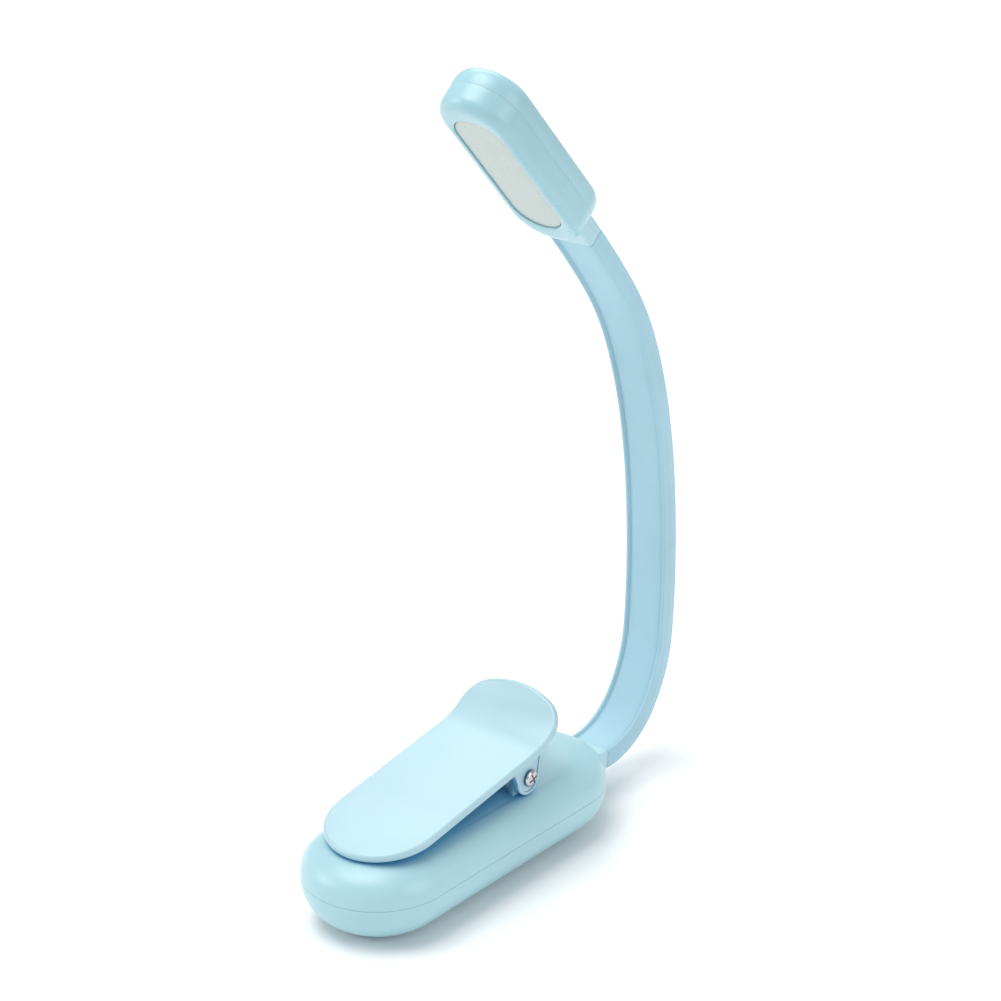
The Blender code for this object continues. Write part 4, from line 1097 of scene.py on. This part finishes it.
def dress_inner_parts(black):
    """Gives the pieces inside the case and the head their materials."""
    looks = {
        "main_board": board_coat("board_green", (0.012, 0.16, 0.06)),
        "led_board": board_coat("board_white", (0.5, 0.5, 0.48)),
        "battery_cell": metal("battery_foil", (0.72, 0.73, 0.75), 0.32, 500, bump=0.6),
        "battery_tape": speckled("battery_tape", (0.02, 0.02, 0.022), 0.6),
        "battery_lead_red": speckled("lead_red", (0.55, 0.015, 0.015), 0.45),
        "battery_lead_black": speckled("lead_black", (0.015, 0.015, 0.016), 0.45),
        "switch_plunger": speckled("plunger_white", (0.8, 0.8, 0.77), 0.4),
    }
    for name in ("switch_body", "charge_chip", "led_resistor"):
        looks[name] = black
    package = led_package()
    for number in range(1, 6):
        looks[f"led_{number}"] = package
    for name, look in looks.items():
        for material_slot in NODES[name].material_slots:
            material_slot.material = look


make_camera()
make_studio()
case_blue = moulded_plastic("case_plastic", (0.36, 0.60, 0.668), shade=0.82)
jaw_blue = moulded_plastic("jaw_plastic", (0.375, 0.58, 0.655), 0.34)
head_blue = moulded_plastic("head_plastic", (0.325, 0.565, 0.64), 0.3, 0.45)
screw_steel = metal("screw_steel", (0.66, 0.66, 0.67), 0.3)
hinge_steel = metal("hinge_steel", (0.6, 0.6, 0.62), 0.14, 1400)
component_black = speckled("component_black", (0.018, 0.018, 0.02), 0.5)
make_case(case_blue)
make_case_screws(screw_steel)
indicator_clear = speckled("indicator_clear", (0.85, 0.9, 0.9), 0.14, 0.05, IOR=1.49, Transmission_Weight=0.4)
make_side_parts(case_blue, metal("socket_steel", (0.7, 0.71, 0.73), 0.26), component_black, indicator_clear)
make_jaw(jaw_blue, grip_rubber())
make_pin(hinge_steel)
make_nut(hinge_steel)
make_spring(metal("spring_steel", (0.58, 0.58, 0.6), 0.28))
core_wire = metal("core_wire", (0.55, 0.54, 0.52), 0.35)
make_neck(neck_silicone(), core_wire, speckled("cable_jacket", (0.82, 0.82, 0.79), 0.5))
make_collars(moulded_plastic("collar_plastic", (0.40, 0.635, 0.72), shade=0.5))
make_head(head_blue, frosted_lens())
dress_inner_parts(component_black)
